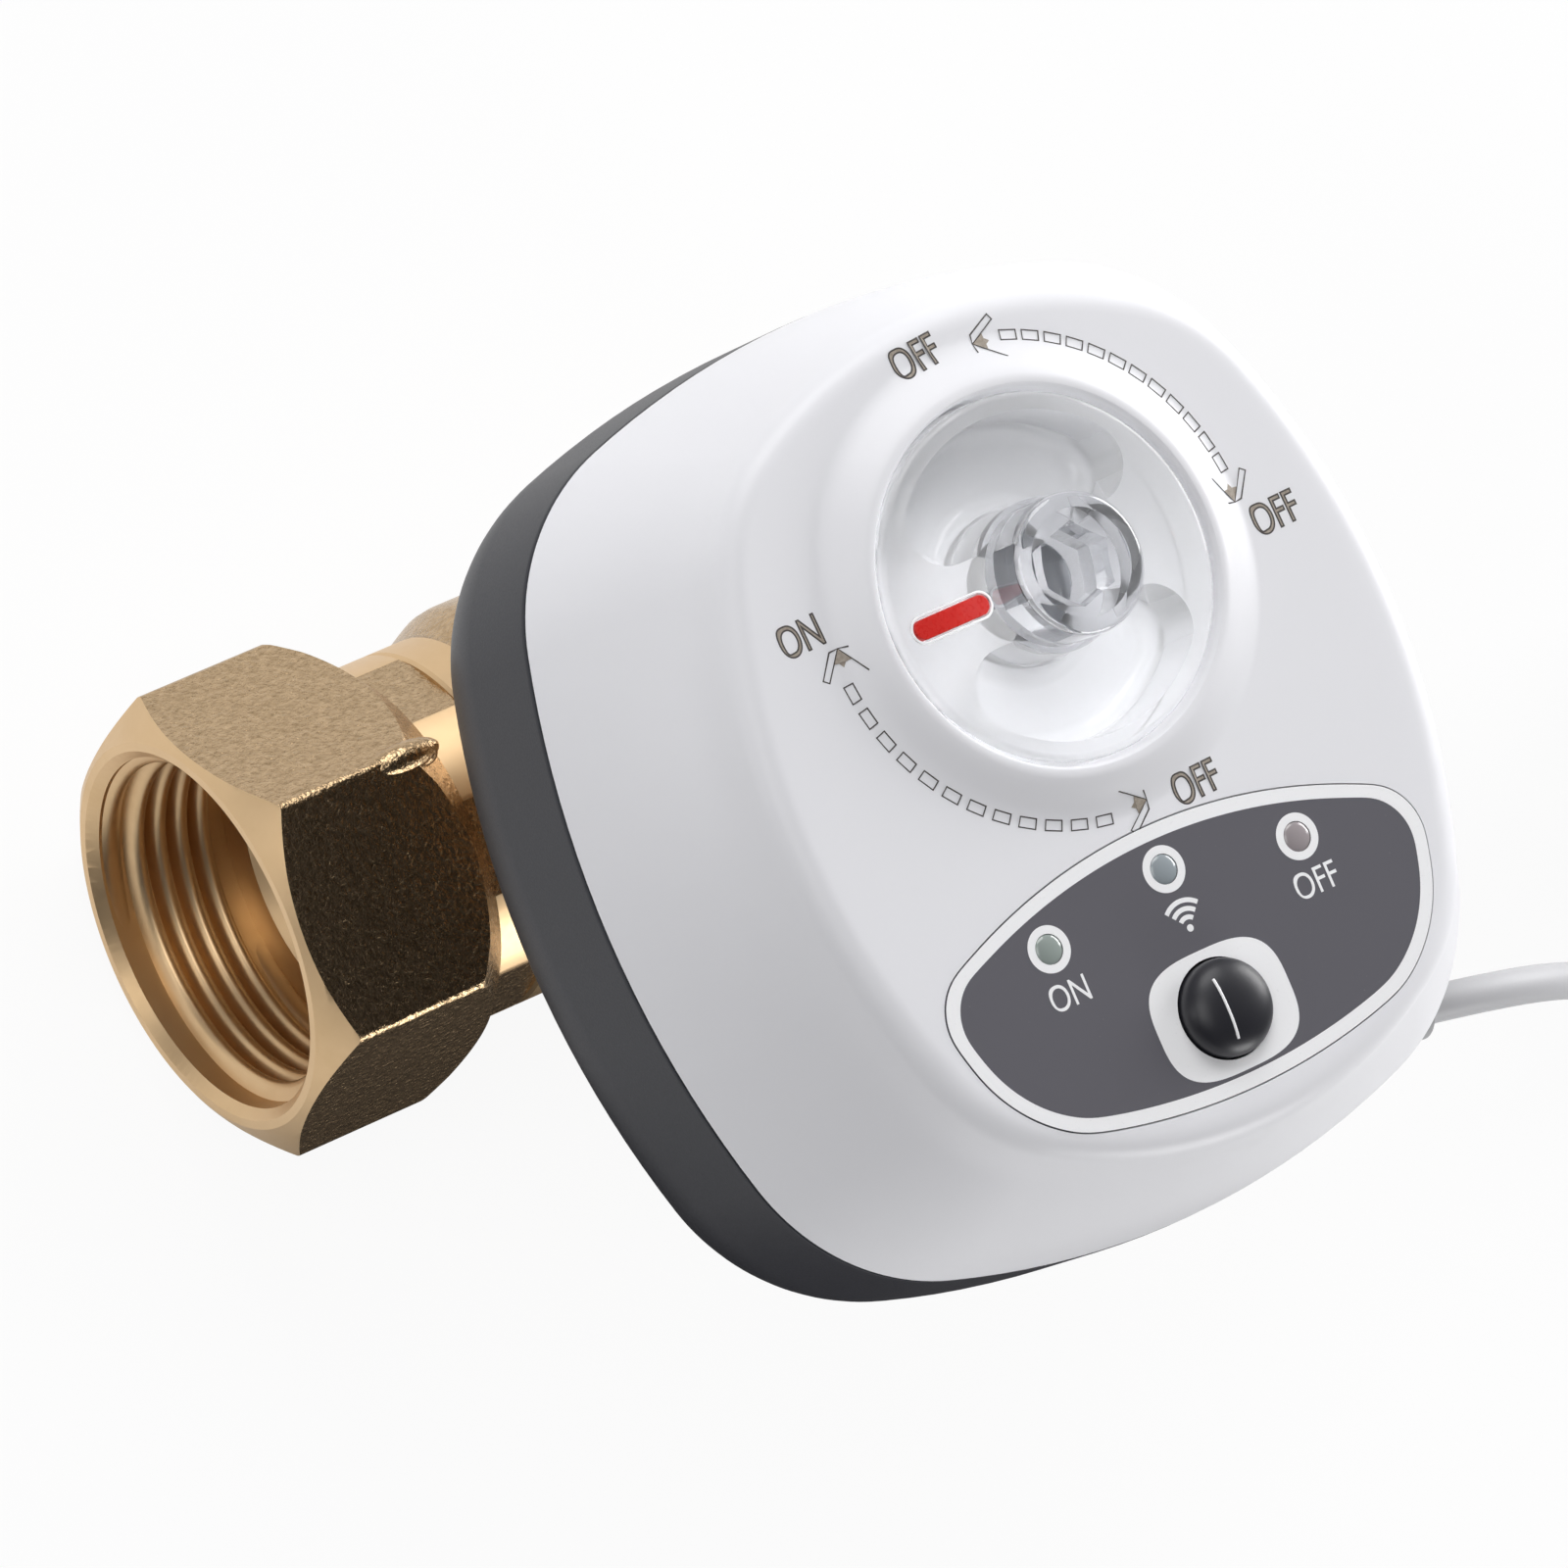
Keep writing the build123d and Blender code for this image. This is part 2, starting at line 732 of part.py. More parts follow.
skirt = loft([case_outline(0, joint_z), valley_outline(-1)], ruled=True)
valley = loft([valley_outline(-1), valley_outline(1)], ruled=True)
cover = skirt + valley + loft([valley_outline(1), top_outline(0, top_z)], ruled=True)
cover = fillet(cover.faces().sort_by(Axis.Z)[-1].edges(), top_edge_round)
hollow = loft(
    [case_outline(case_wall, joint_z), top_outline(case_wall - step_spread, step_z)], ruled=True
)
hollow += extrude(top_outline(case_wall + step_spread, step_z), step_height - top_wall)
hollow += extrude(case_outline(case_wall, joint_z - cut_overrun), cut_overrun)
well_bottom = top_z - well_depth
hollow -= disc(well_radius + well_wall, well_depth + well_floor, 0, stem_y, well_bottom - well_floor)
for x, y in screw_places:
    hollow -= disc(screw_boss_radius, cover_height, x, y, joint_z)
board_top = top_z - board_drop
board_z = board_top - board_thickness
for x, y in board_posts:
    hollow -= disc(board_post_radius, board_drop, x, y, board_top)
cover -= hollow
collar_ring = turned(
    [
        (well_radius, -well_wall),
        (well_collar_radius, -well_wall),
        (well_collar_radius, 0),
        (well_collar_radius - well_collar_height, well_collar_height * tip_share),
        (well_radius + well_collar_top / 2, well_collar_height),
        (well_radius, well_collar_height - well_collar_top / 4),
    ]
)
cover += Pos(0, stem_y, top_z) * collar_ring
cover -= disc(well_radius, well_depth + 2 * well_collar_height, 0, stem_y, well_bottom)
seal_z = well_bottom - well_floor
seal_hole = shaft_top_radius + knob_seal_width
cover -= disc(seal_hole, well_floor + 2 * cut_overrun, 0, stem_y, seal_z - cut_overrun)
for x, y in screw_places:
    cover -= disc(screw_radius - pilot_gap, cover_boss_height, x, y, joint_z - cut_overrun)
for x, y in board_posts:
    cover -= disc(board_screw_radius - pilot_gap, board_screw_length, x, y, board_top - cut_overrun)

panel_height = panel_top_y - panel_bottom_y
panel_upper_shares = ((0.857, 0.812), (0.985, 0.70), (0.988, 0.52))
panel_lower_shares = ((0.875, 0.265), (0.655, 0.092))


def panel_outline(grow, z):
    """The panel's outline: five pairs of arcs whose ends are shares of its half width and height."""
    half = panel_half_width + grow
    low = panel_bottom_y - grow
    height = panel_height + 2 * grow
    right = [(half * sx, low + height * sy) for sx, sy in panel_upper_shares + panel_lower_shares]
    left = [(-x, y) for x, y in right]
    arcs = [
        ThreePointArc(left[0], (0, low + height), right[0]),
        ThreePointArc(right[0], right[1], right[2]),
        ThreePointArc(right[2], right[3], right[4]),
        ThreePointArc(right[4], (0, low), left[4]),
        ThreePointArc(left[4], left[3], left[2]),
        ThreePointArc(left[2], left[1], left[0]),
    ]
    return Pos(0, stem_y, z) * make_face(arcs)


lamp_places = [
    (-lamp_x, stem_y + lamp_y),
    (0, stem_y + radio_lamp_y),
    (lamp_x, stem_y + lamp_y),
]
button_place = (0, stem_y + button_y)
recess_z = top_z - panel_recess
cover -= extrude(panel_outline(panel_edge_gap, recess_z), panel_recess + cut_overrun)
panel = extrude(panel_outline(0, recess_z), panel_thickness)
for x, y in lamp_places:
    cover -= disc(lamp_radius + lamp_gap, step_height, x, y, top_z - step_height)
    panel -= disc(lamp_radius + lamp_gap, panel_thickness, x, y, recess_z)
cover -= disc(button_radius + button_gap, step_height, *button_place, top_z - step_height)
panel -= disc(button_radius + button_gap, panel_thickness, *button_place, recess_z)
pieces["cover_shell"] = cover
pieces["panel_label"] = panel

# Case screws: four self-tapping screws up through the base's wells into the cover's bosses.
case_screws = []
for x, y in screw_places:
    screw = disc(screw_head_radius, screw_head_height, x, y, screw_seat_z - screw_head_height)
    screw += disc(screw_radius - pilot_gap - lamp_gap, screw_shank - screw_head_height, x, y, screw_seat_z)
    case_screws.append(screw.solids()[0])
pieces["case_screws"] = Compound(case_screws)

# Gear shafts' places, worked out along the train from the output wheel.
center_output = (0, stem_y)
output_distance = output_module * (output_teeth + pinion_teeth) / 2
second_distance = second_module * (second_teeth + pinion_teeth) / 2
first_distance = first_module * (first_teeth + pinion_teeth) / 2
center_second = step_from(center_output, second_direction, output_distance)
center_first = step_from(center_second, first_direction, second_distance)
center_motor = step_from(center_first, motor_direction, first_distance)
half_pinion_pitch = 180 / pinion_teeth

output_z = plate_z + plate_thickness + gear_side_gap
second_z = output_z + output_face + gear_side_gap
first_z = second_z + second_face + gear_side_gap
upper_plate_z = first_z + first_face + gear_side_gap

# Gear frame: two punched steel plates, held apart by four pillars and screwed to the base.
def gear_plate(z):
    """Plate whose four corners are cut back round the wells of the case screws."""
    outline = RectangleRounded(2 * plate_half_x, 2 * plate_half_y, plate_corner)
    neck_middle = (plate_high_y + plate_low_y) / 2
    outline += Pos(0, neck_middle) * RectangleRounded(
        2 * plate_neck_x, plate_high_y - plate_low_y, plate_corner
    )
    plate = extrude(Pos(0, 0, z) * outline, plate_thickness)
    plate -= disc(bush_radius, plate_thickness, *center_output, z)
    for x, y in (center_second, center_first):
        plate -= disc(gear_pin_radius + gear_pin_gap, plate_thickness, x, y, z)
    for x, y in pillar_places:
        plate -= disc(frame_screw_radius + gear_pin_gap, plate_thickness, x, y, z)
    return plate


lower_plate = gear_plate(plate_z)
upper_plate = gear_plate(upper_plate_z)
upper_plate -= disc(motor_collar_radius + gear_pin_gap, plate_thickness, *center_motor, upper_plate_z)
motor_ears = [step_from(center_motor, motor_ear_direction, side * motor_ear_reach) for side in (-1, 1)]
for x, y in motor_ears:
    upper_plate -= disc(motor_screw_radius, plate_thickness, x, y, upper_plate_z)
pieces["lower_plate"] = lower_plate
pieces["upper_plate"] = upper_plate
pillar_z = plate_z + plate_thickness
pillar_height = upper_plate_z - pillar_z
pillars = []
frame_screws = []
for x, y in pillar_places:
    pillar = disc(pillar_radius, pillar_height, x, y, pillar_z)
    pillar -= disc(frame_screw_radius + gear_pin_gap, pillar_height, x, y, pillar_z)
    pillars.append(pillar.solids()[0])
    top = upper_plate_z + plate_thickness
    bottom = plate_z - frame_screw_length
    screw = disc(frame_screw_head, frame_screw_head_height, x, y, top)
    screw += disc(frame_screw_radius - pilot_gap - lamp_gap, top - bottom, x, y, bottom)
    frame_screws.append(screw.solids()[0])
pieces["plate_pillars"] = Compound(pillars)
pieces["frame_screws"] = Compound(frame_screws)


def shaft_bush(z):
    bush = disc(bush_radius - lamp_gap, plate_thickness, *center_output, z)
    return bush - disc(shaft_radius + bush_gap, plate_thickness, *center_output, z)


pieces["shaft_bushes"] = Compound(
    [shaft_bush(z).solids()[0] for z in (plate_z, upper_plate_z)]
)
gear_pins = []
for x, y in (center_second, center_first):
    pin_length = upper_plate_z + plate_thickness - plate_z
    gear_pins.append(disc(gear_pin_radius, pin_length, x, y, plate_z).solids()[0])
pieces["gear_pins"] = Compound(gear_pins)


# Output wheel: moulded, with a dished web. It grips the output shaft only through its clutch.
def dished(wheel, rim_radius, boss, height, z, x, y):
    """The same wheel with its web sunk on the upper side, from the boss out to the rim."""
    ring = disc(rim_radius, web_depth, x, y, z + height - web_depth)
    ring -= disc(boss, web_depth, x, y, z + height - web_depth)
    return wheel - ring


output_rim = output_module * output_teeth / 2 - root_share * output_module - rim_width
wheel = Pos(*center_output, output_z) * gear(output_teeth, output_module, output_face, second_direction)
wheel = dished(wheel, output_rim, hub_radius, output_face, output_z, *center_output)
wheel -= disc(shaft_radius + shaft_gap, output_face, *center_output, output_z)
pieces["output_gear"] = wheel


def compound_gear(center, teeth, module, face, z, to_next, pinion_module, pinion_z, to_last):
    """A wheel and the pinion below it as one moulding, bored for its pin."""
    pinion_height = z - pinion_z
    part = Pos(*center, z) * gear(teeth, module, face, to_next)
    part = dished(part, module * (teeth / 2 - root_share) - rim_width, boss_radius / 2, face, z, *center)
    pinion_turn = to_last + 180 + half_pinion_pitch
    part += Pos(*center, pinion_z) * gear(pinion_teeth, pinion_module, pinion_height, pinion_turn)
    return part - disc(gear_pin_radius + gear_pin_gap, z + face - pinion_z, *center, pinion_z)


pieces["second_gear"] = compound_gear(
    center_second, second_teeth, second_module, second_face, second_z, first_direction,
    output_module, output_z - pinion_extra / 2, second_direction,
)
pieces["first_gear"] = compound_gear(
    center_first, first_teeth, first_module, first_face, first_z, motor_direction,
    second_module, second_z - pinion_extra / 2, first_direction,
)

# Motor: flat can geared motor on the upper plate, its pinion down between the plates.
motor_z = upper_plate_z + plate_thickness + motor_ear_thickness
motor = disc(motor_radius, motor_height - motor_ear_thickness, *center_motor, motor_z)
ear_z = motor_z - motor_ear_thickness
motor_low_z = ear_z - motor_collar_height
motor += disc(motor_collar_radius, motor_z - motor_low_z, *center_motor, motor_low_z)
ear = Pos(*center_motor, ear_z) * extrude(
    SlotOverall(2 * motor_ear_reach + motor_ear_width, motor_ear_width, rotation=motor_ear_direction),
    motor_ear_thickness,
)
motor += ear
motor_screws = []
for x, y in motor_ears:
    motor -= disc(motor_screw_radius + gear_pin_gap, motor_ear_thickness, x, y, ear_z)
    screw = disc(motor_screw_head, motor_screw_head_height, x, y, motor_z)
    screw += disc(motor_screw_radius - gear_pin_gap, motor_z - upper_plate_z, x, y, upper_plate_z)
    motor_screws.append(screw.solids()[0])
pieces["motor_screws"] = Compound(motor_screws)
pinion_z = first_z - pinion_extra / 2
motor_bore = motor_shaft_radius + gear_pin_gap
motor -= disc(motor_bore, motor_height, *center_motor, motor_low_z - motor_ear_thickness)
pieces["drive_motor"] = motor
pinion = Pos(*center_motor, pinion_z) * gear(
    pinion_teeth, first_module, first_face + pinion_extra, motor_direction + 180 + half_pinion_pitch
)
pinion += disc(motor_shaft_radius, motor_height - motor_ear_thickness, *center_motor, pinion_z + first_face)
pieces["motor_pinion"] = pinion

# Output shaft: takes the stem's square in its foot, turns in both plates' bushes and carries the
# knob on a flatted end above the well's floor.
shaft_foot = floor_z + seam_gap
knob_bottom = well_bottom + knob_floor_gap
shaft_shoulder = well_bottom - well_floor - knob_seal_height - seam_gap
shaft_end = knob_bottom + knob_socket_height
shaft = disc(shaft_radius, shaft_shoulder - shaft_foot, *center_output, shaft_foot)
shaft += disc(shaft_top_radius, shaft_end - shaft_shoulder, *center_output, shaft_shoulder)
flat_cut = block(
    (2 * shaft_top_radius, shaft_top_radius, knob_socket_height + cut_overrun),
    0, stem_y + shaft_flat + shaft_top_radius / 2, knob_bottom,
)
shaft -= flat_cut
square_hole = stem_square + 2 * shaft_socket_play
shaft -= block((square_hole, square_hole, stem_top - shaft_foot + shaft_socket_play), 0, stem_y, shaft_foot)
pieces["output_shaft"] = shaft

# Clutch: two conical spring washers, one on the other, and a ring on the shaft press the output
# wheel down, so that a hand on the knob can slip it.
clutch_z = output_z + output_face
clutch_inner = shaft_radius + shaft_gap
cone_rise = clutch_height / 2 - washer_thickness
low_washer = [
    (clutch_inner, clutch_z),
    (clutch_outer, clutch_z + cone_rise),
    (clutch_outer, clutch_z + clutch_height / 2),
    (clutch_inner, clutch_z + washer_thickness),
]
high_washer = [(radius, 2 * clutch_z + clutch_height - z) for radius, z in low_washer]
pieces["clutch_washers"] = Compound(
    [(knob_axis * turned(washer)).solids()[0] for washer in (low_washer, high_washer)]
)
ring_z = clutch_z + clutch_height
pieces["retaining_ring"] = disc(ring_radius, ring_thickness, *center_output, ring_z) - disc(
    shaft_radius, ring_thickness, *center_output, ring_z
)

# Position collar: sits on the shaft above the upper plate with a magnet in its rim, which passes two
# sensors on the plate, one at each end of the quarter turn.
collar_base = upper_plate_z + plate_thickness + gear_side_gap
magnet_axis = Pos(-magnet_collar_radius, stem_y, collar_base + magnet_collar_height / 2) * Rot(0, 90, 0)
magnet_pocket = Cylinder(magnet_radius, magnet_length, align=(Align.CENTER, Align.CENTER, Align.MIN))
position_collar = disc(magnet_collar_radius, magnet_collar_height, *center_output, collar_base)
position_collar -= disc(shaft_radius, magnet_collar_height, *center_output, collar_base)
position_collar -= magnet_axis * Pos(0, 0, -cut_overrun) * magnet_pocket
pieces["position_magnet"] = magnet_axis * Pos(0, 0, seam_gap) * Cylinder(
    magnet_radius, magnet_length - cut_overrun - seam_gap, align=(Align.CENTER, Align.CENTER, Align.MIN)
)
pieces["position_collar"] = position_collar
sensors = []
for direction in (180, 90):
    x, y = step_from(center_output, direction, magnet_collar_radius + sensor_gap + sensor_size[0] / 2)
    sensor = Pos(x, y, upper_plate_z + plate_thickness) * Rot(0, 0, direction)
    sensor *= Box(*sensor_size, align=(Align.CENTER, Align.CENTER, Align.MIN))
    sensors.append(sensor.solids()[0])
pieces["position_sensors"] = Compound(sensors)

# Knob: clear moulding with two finger pockets, a bar between them, a boss with a hexagonal socket
# for a key, and the red pointer let into the bar.
knob_top = top_z + knob_rim_height
knob = disc(knob_radius, knob_top - knob_bottom, *center_output, knob_bottom)
knob = fillet(knob.edges().sort_by(Axis.Z)[-1:], knob_rim_round)
half_moon = Circle(pocket_radius) - Rectangle(4 * pocket_radius, 2 * bar_half_width)
half_moon -= Circle(boss_radius + knob_rim_round)
pocket_z = knob_bottom + pocket_floor
for moon in half_moon.faces():
    soft = fillet(moon.vertices().group_by(Axis.X)[0] + moon.vertices().group_by(Axis.X)[-1], pocket_corner)
    knob -= Pos(*center_output, pocket_z) * extrude(soft, knob_top - pocket_z + cut_overrun)
boss = disc(boss_radius, top_z + boss_height - pocket_z, *center_output, pocket_z)
boss = fillet(boss.edges().sort_by(Axis.Z)[-1:], boss_round)
knob += boss
socket = Rot(0, 0, socket_turn) * RegularPolygon(socket_flats / 2, 6, major_radius=False)
socket_z = top_z + boss_height - socket_depth
knob -= Pos(*center_output, socket_z) * extrude(socket, socket_depth + cut_overrun)
shaft_hole = disc(shaft_top_radius + shaft_gap, knob_socket_height + shaft_gap, *center_output, knob_bottom)
flat_fill = block(
    (3 * shaft_top_radius, shaft_top_radius, knob_socket_height + cut_overrun),
    0, stem_y + shaft_flat + shaft_gap + shaft_top_radius / 2, knob_bottom,
)
knob -= shaft_hole - flat_fill


def pointer_slot(grow, z, height):
    length = pointer_end - pointer_start + 2 * grow
    middle = -(pointer_end + pointer_start) / 2
    outline = SlotOverall(length, pointer_width + 2 * grow)
    return Pos(middle, stem_y, z) * extrude(outline, height)


pointer_z = knob_top - pointer_depth
knob -= pointer_slot(pointer_gap, pointer_z, pointer_depth + cut_overrun)
pieces["clear_knob"] = knob
pieces["knob_pointer"] = pointer_slot(0, pointer_z, pointer_depth + pointer_proud)
pieces["knob_seal"] = knob_axis * turned(
    [
        (shaft_top_radius + gear_pin_gap, seal_z),
        (shaft_top_radius + knob_seal_width - gear_pin_gap, seal_z),
        (shaft_top_radius + knob_seal_width - gear_pin_gap, seal_z + knob_seal_height),
        (shaft_top_radius + gear_pin_gap, seal_z + knob_seal_height),
    ]
)

# Circuit board under the panel, hung from four posts of the cover, and what stands on it.
board_length = board_high_y - board_low_y
board_middle = (board_high_y + board_low_y) / 2
board_outline = RectangleRounded(2 * board_half_x, board_length, board_corner)
board = extrude(Pos(0, board_middle, board_z) * board_outline, board_thickness)
board_screws = []
for x, y in board_posts:
    board -= disc(board_screw_radius + gear_pin_gap, board_thickness, x, y, board_z)
    screw = disc(board_screw_head, board_screw_head_height, x, y, board_z - board_screw_head_height)
    screw += disc(board_screw_radius - pilot_gap - lamp_gap, board_screw_length, x, y, board_z)
    board_screws.append(screw.solids()[0])
pieces["circuit_board"] = board
pieces["board_screws"] = Compound(board_screws)
pieces["radio_module"] = block(radio_size, *radio_place, board_z - radio_size[2])
pieces["board_chips"] = Compound(
    [block(chip_size, x, y, board_z - chip_size[2]).solids()[0] for x, y in chip_places]
)
pieces["capacitor"] = Pos(*capacitor_place, board_z - capacitor_radius) * Rot(90, 0, 0) * Cylinder(
    capacitor_radius, capacitor_height
)
socket_body = block(connector_size, *connector_place, board_z - connector_size[2])
socket_body -= block(
    (connector_size[0] - case_wall, connector_size[1] - case_wall, connector_size[2] - case_wall),
    *connector_place, board_z - connector_size[2],
)
pieces["cable_connector"] = socket_body

# Lamps: three emitters on the board, each under a clear lens set in the panel.
leds = []
lenses = []
lens_bottom = top_z - top_wall - lens_flange_height
for x, y in lamp_places:
    leds.append(block((led_width, led_width, led_height), x, y, board_top).solids()[0])
    lens = disc(lamp_radius, recess_z + panel_thickness - lens_bottom, x, y, lens_bottom)
    lens += disc(lens_flange_radius, lens_flange_height, x, y, lens_bottom)
    lenses.append(lens.solids()[0])
pieces["status_leds"] = Compound(leds)
pieces["status_lenses"] = Compound(lenses)

# Push button: domed black cap on the plunger of a small switch, free to travel down.
button_foot = recess_z + panel_thickness
dome_base = button_foot + button_skirt_rise + button_travel
dome_radius = (button_radius**2 + button_dome_height**2) / (2 * button_dome_height)
flange_top = top_z - top_wall - lamp_gap
flange_z = flange_top - button_flange_height
dome_top = Sphere(dome_radius) & Pos(0, 0, dome_radius) * Box(
    2 * button_radius, 2 * button_radius, 2 * button_dome_height
)
dome_top = Pos(*button_place, dome_base + button_dome_height - dome_radius) * dome_top
button = disc(button_radius, dome_base - flange_z, *button_place, flange_z)
button += dome_top & disc(button_radius, button_dome_height * 2, *button_place, dome_base - lamp_gap)
button += disc(button_flange_radius, button_flange_height, *button_place, flange_z)
switch_top = board_top + switch_height
plunger_z = switch_top - button_travel
button += disc(switch_plunger_radius, flange_z - plunger_z, *button_place, plunger_z)
pieces["push_button"] = button
switch = block((switch_width, switch_width, switch_height), *button_place, board_top)
plunger_room = 2 * button_travel + button_gap
switch -= disc(switch_plunger_radius + button_gap, plunger_room, *button_place, switch_top - plunger_room)
pieces["tact_switch"] = switch

# Cord: straight out of the gland, down in one long bend, and onto the surface where its coil lies.
route = [Vector(*cord_exit)] + [Vector(*point) for point in cord_route]
runs = [(b - a).length for a, b in zip(route, route[1:])]
radii = []
for i in range(1, len(route) - 1):
    turn = math.radians((route[i] - route[i - 1]).get_angle(route[i + 1] - route[i]))
    radii.append(0.45 * min(runs[i - 1], runs[i]) / math.tan(turn / 2))
print("cord runs", [round(run, 1) for run in runs])
print("cord radii", [round(radius, 1) for radius in radii])
path = FilletPolyline(*route, radius=radii)
section = Plane(origin=path @ 0, z_dir=path % 0) * Circle(cord_radius)
cord = sweep(section, path=path)
plain_volume = path.length * math.pi * cord_radius**2
print("cord length", round(path.length, 1), "volume share", round(cord.volume / plain_volume, 4))
pieces["power_cord"] = cord
coil = turned(
    [
        (coil_mid_radius - coil_band / 2, 0),
        (coil_mid_radius + coil_band / 2, 0),
        (coil_mid_radius + coil_band / 2, coil_height),
        (coil_mid_radius - coil_band / 2, coil_height),
    ]
)
pieces["cord_coil"] = Pos(*coil_center, 0) * coil

# Plug on the cord's far end: round grip with a relief sleeve and a hollow metal barrel. It lies on
# the coil, a little down between the turns.
plug_z = coil_height + plug_grip_radius - seam_gap
plug_axis = Pos(*plug_start, plug_z) * Rot(0, 0, plug_turn) * Rot(0, 90, 0)
plug_axis *= Pos(0, 0, plug_relief_length)
upright = (Align.CENTER, Align.CENTER, Align.MIN)
grip = Cylinder(plug_grip_radius, plug_grip_length, align=upright)
grip += Pos(0, 0, -plug_relief_length) * Cone(
    plug_relief_low_radius, plug_relief_high_radius, plug_relief_length, align=upright
)
pieces["cord_plug"] = plug_axis * grip
barrel_tube = Cylinder(plug_barrel_radius, plug_barrel_length, align=upright)
barrel_tube -= Pos(0, 0, case_wall) * Cylinder(plug_bore_radius, plug_barrel_length, align=upright)
pieces["plug_barrel"] = plug_axis * Pos(0, 0, plug_grip_length) * barrel_tube

os.makedirs("parts", exist_ok=True)
for name, piece in pieces.items():
    export_step(piece, "parts/" + name + ".step")
print(len(pieces), "nodes")
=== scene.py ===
import math

import bmesh
import bpy
from mathutils import Matrix, Vector


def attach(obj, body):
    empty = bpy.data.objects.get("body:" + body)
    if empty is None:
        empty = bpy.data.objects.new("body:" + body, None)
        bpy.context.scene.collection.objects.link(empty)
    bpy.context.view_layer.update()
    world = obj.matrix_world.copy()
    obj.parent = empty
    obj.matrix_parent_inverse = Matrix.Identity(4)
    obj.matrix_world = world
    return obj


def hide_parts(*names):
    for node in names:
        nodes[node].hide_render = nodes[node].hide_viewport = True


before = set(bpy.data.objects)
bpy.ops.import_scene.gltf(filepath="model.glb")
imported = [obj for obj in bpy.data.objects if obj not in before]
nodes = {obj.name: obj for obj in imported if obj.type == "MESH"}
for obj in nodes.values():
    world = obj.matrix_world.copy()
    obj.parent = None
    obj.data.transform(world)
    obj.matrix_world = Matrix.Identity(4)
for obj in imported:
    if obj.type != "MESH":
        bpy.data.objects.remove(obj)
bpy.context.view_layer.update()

mm = 0.001

# Camera, room and light. A long lens looks down from the inlet's side, as in the photograph. The
# floor and the world are white to the camera, and the object is lit by soft panels.
camera_place = (-0.516583, 0.022527, 0.986496)
camera_right = (0.8017137, -0.3955813, 0.4480743)
camera_down = (-0.3537556, -0.9182916, -0.1777570)
camera_ahead = (0.4817802, -0.0159986, -0.8761461)
camera_data = bpy.data.cameras.new("camera")
camera_data.sensor_width = 36.0
camera_data.lens = 278.4
camera_data.clip_end = 20.0
camera = bpy.data.objects.new("camera", camera_data)
bpy.context.scene.collection.objects.link(camera)
turn = Matrix((camera_right, [-c for c in camera_down], [-c for c in camera_ahead])).transposed()
camera.matrix_world = Matrix.Translation(camera_place) @ turn.to_4x4()
bpy.context.scene.camera = camera
bpy.context.scene.view_settings.view_transform = "Standard"


def start_clean():
    """Nothing is edited or selected, as every operator here expects."""
    if bpy.context.object and bpy.context.object.mode != "OBJECT":
        bpy.ops.object.mode_set(mode="OBJECT")
    bpy.ops.object.select_all(action="DESELECT")


def new_material(name):
    """Material, with its nodes, its links and its shader."""
    material = bpy.data.materials.new(name)
    material.use_nodes = True
    tree = material.node_tree
    return material, tree.nodes, tree.links, tree.nodes["Principled BSDF"]


def add_node(made, kind, values, **options):
    """Shader node with its options, and plain values on its inputs."""
    node = made.new(kind)
    for option, value in options.items():
        setattr(node, option, value)
    for socket, value in values.items():
        node.inputs[socket].default_value = value
    return node


def wire(joined, wires):
    """Joins nodes. Each wire is a node and its output, then the node and the input that it goes to."""
    for first, output, second, socket in wires:
        joined.new(first.outputs[output], second.inputs[socket])


# To the camera the floor glows white and keeps a soft shadow. In the brass it is bright, but for a round
# patch of painted shadow under the valve, which only reflections see.
floor_glow, floor_mirror = 0.92, 0.7
# Middle, inner radius and outer edge of the round patch of painted shadow under the valve, in m.
painted_shadow_place, painted_shadow_radius, painted_shadow_edge = (0.0, -0.06, 0.0), 0.055, 0.085
start_clean()
bpy.ops.mesh.primitive_plane_add(size=6.0, location=(0, 0, 0))
floor = bpy.context.object
floor.name = "floor"
floor_material, made, joined, floor_shader = new_material("floor_white")
floor_shader.inputs["Roughness"].default_value = 0.7
path = made.new("ShaderNodeLightPath")
place = made.new("ShaderNodeTexCoord")
distance = add_node(made, "ShaderNodeVectorMath", {1: painted_shadow_place}, operation="DISTANCE")
painted_shadow = add_node(made, "ShaderNodeMapRange", {"From Min": painted_shadow_edge, "From Max": painted_shadow_radius})
painted_shadow_seen = add_node(made, "ShaderNodeMath", {}, operation="MULTIPLY")
bright = add_node(made, "ShaderNodeMath", {}, operation="SUBTRACT")
bright_seen = add_node(made, "ShaderNodeMath", {1: floor_mirror}, operation="MULTIPLY")
seen = add_node(made, "ShaderNodeMath", {1: floor_glow}, operation="MULTIPLY_ADD")
# The second floor colour is painted shadow: reflected rays take it inside the round patch under the valve.
floor_colours = {6: (0.9, 0.9, 0.9, 1), 7: (0.035, 0.03, 0.028, 1)}
floor_colour = add_node(made, "ShaderNodeMix", floor_colours, data_type="RGBA")
glow = add_node(made, "ShaderNodeEmission", {"Color": (1, 1, 1, 1)})
mix = made.new("ShaderNodeMixShader")
wire(joined, [
    (place, "Object", distance, 0), (distance, "Value", painted_shadow, "Value"),
    (painted_shadow, "Result", painted_shadow_seen, 0), (path, "Is Glossy Ray", painted_shadow_seen, 1),
    (painted_shadow_seen, 0, floor_colour, "Factor"), (path, "Is Glossy Ray", bright, 0),
    (painted_shadow_seen, 0, bright, 1), (bright, 0, bright_seen, 0), (bright_seen, 0, seen, 2),
    (path, "Is Camera Ray", seen, 0), (floor_colour, 2, floor_shader, "Base Color"),
    (seen, 0, mix, "Fac"), (floor_shader, 0, mix, 1), (glow, 0, mix, 2),
    (mix, 0, made["Material Output"], "Surface"),
])
floor.data.materials.append(floor_material)

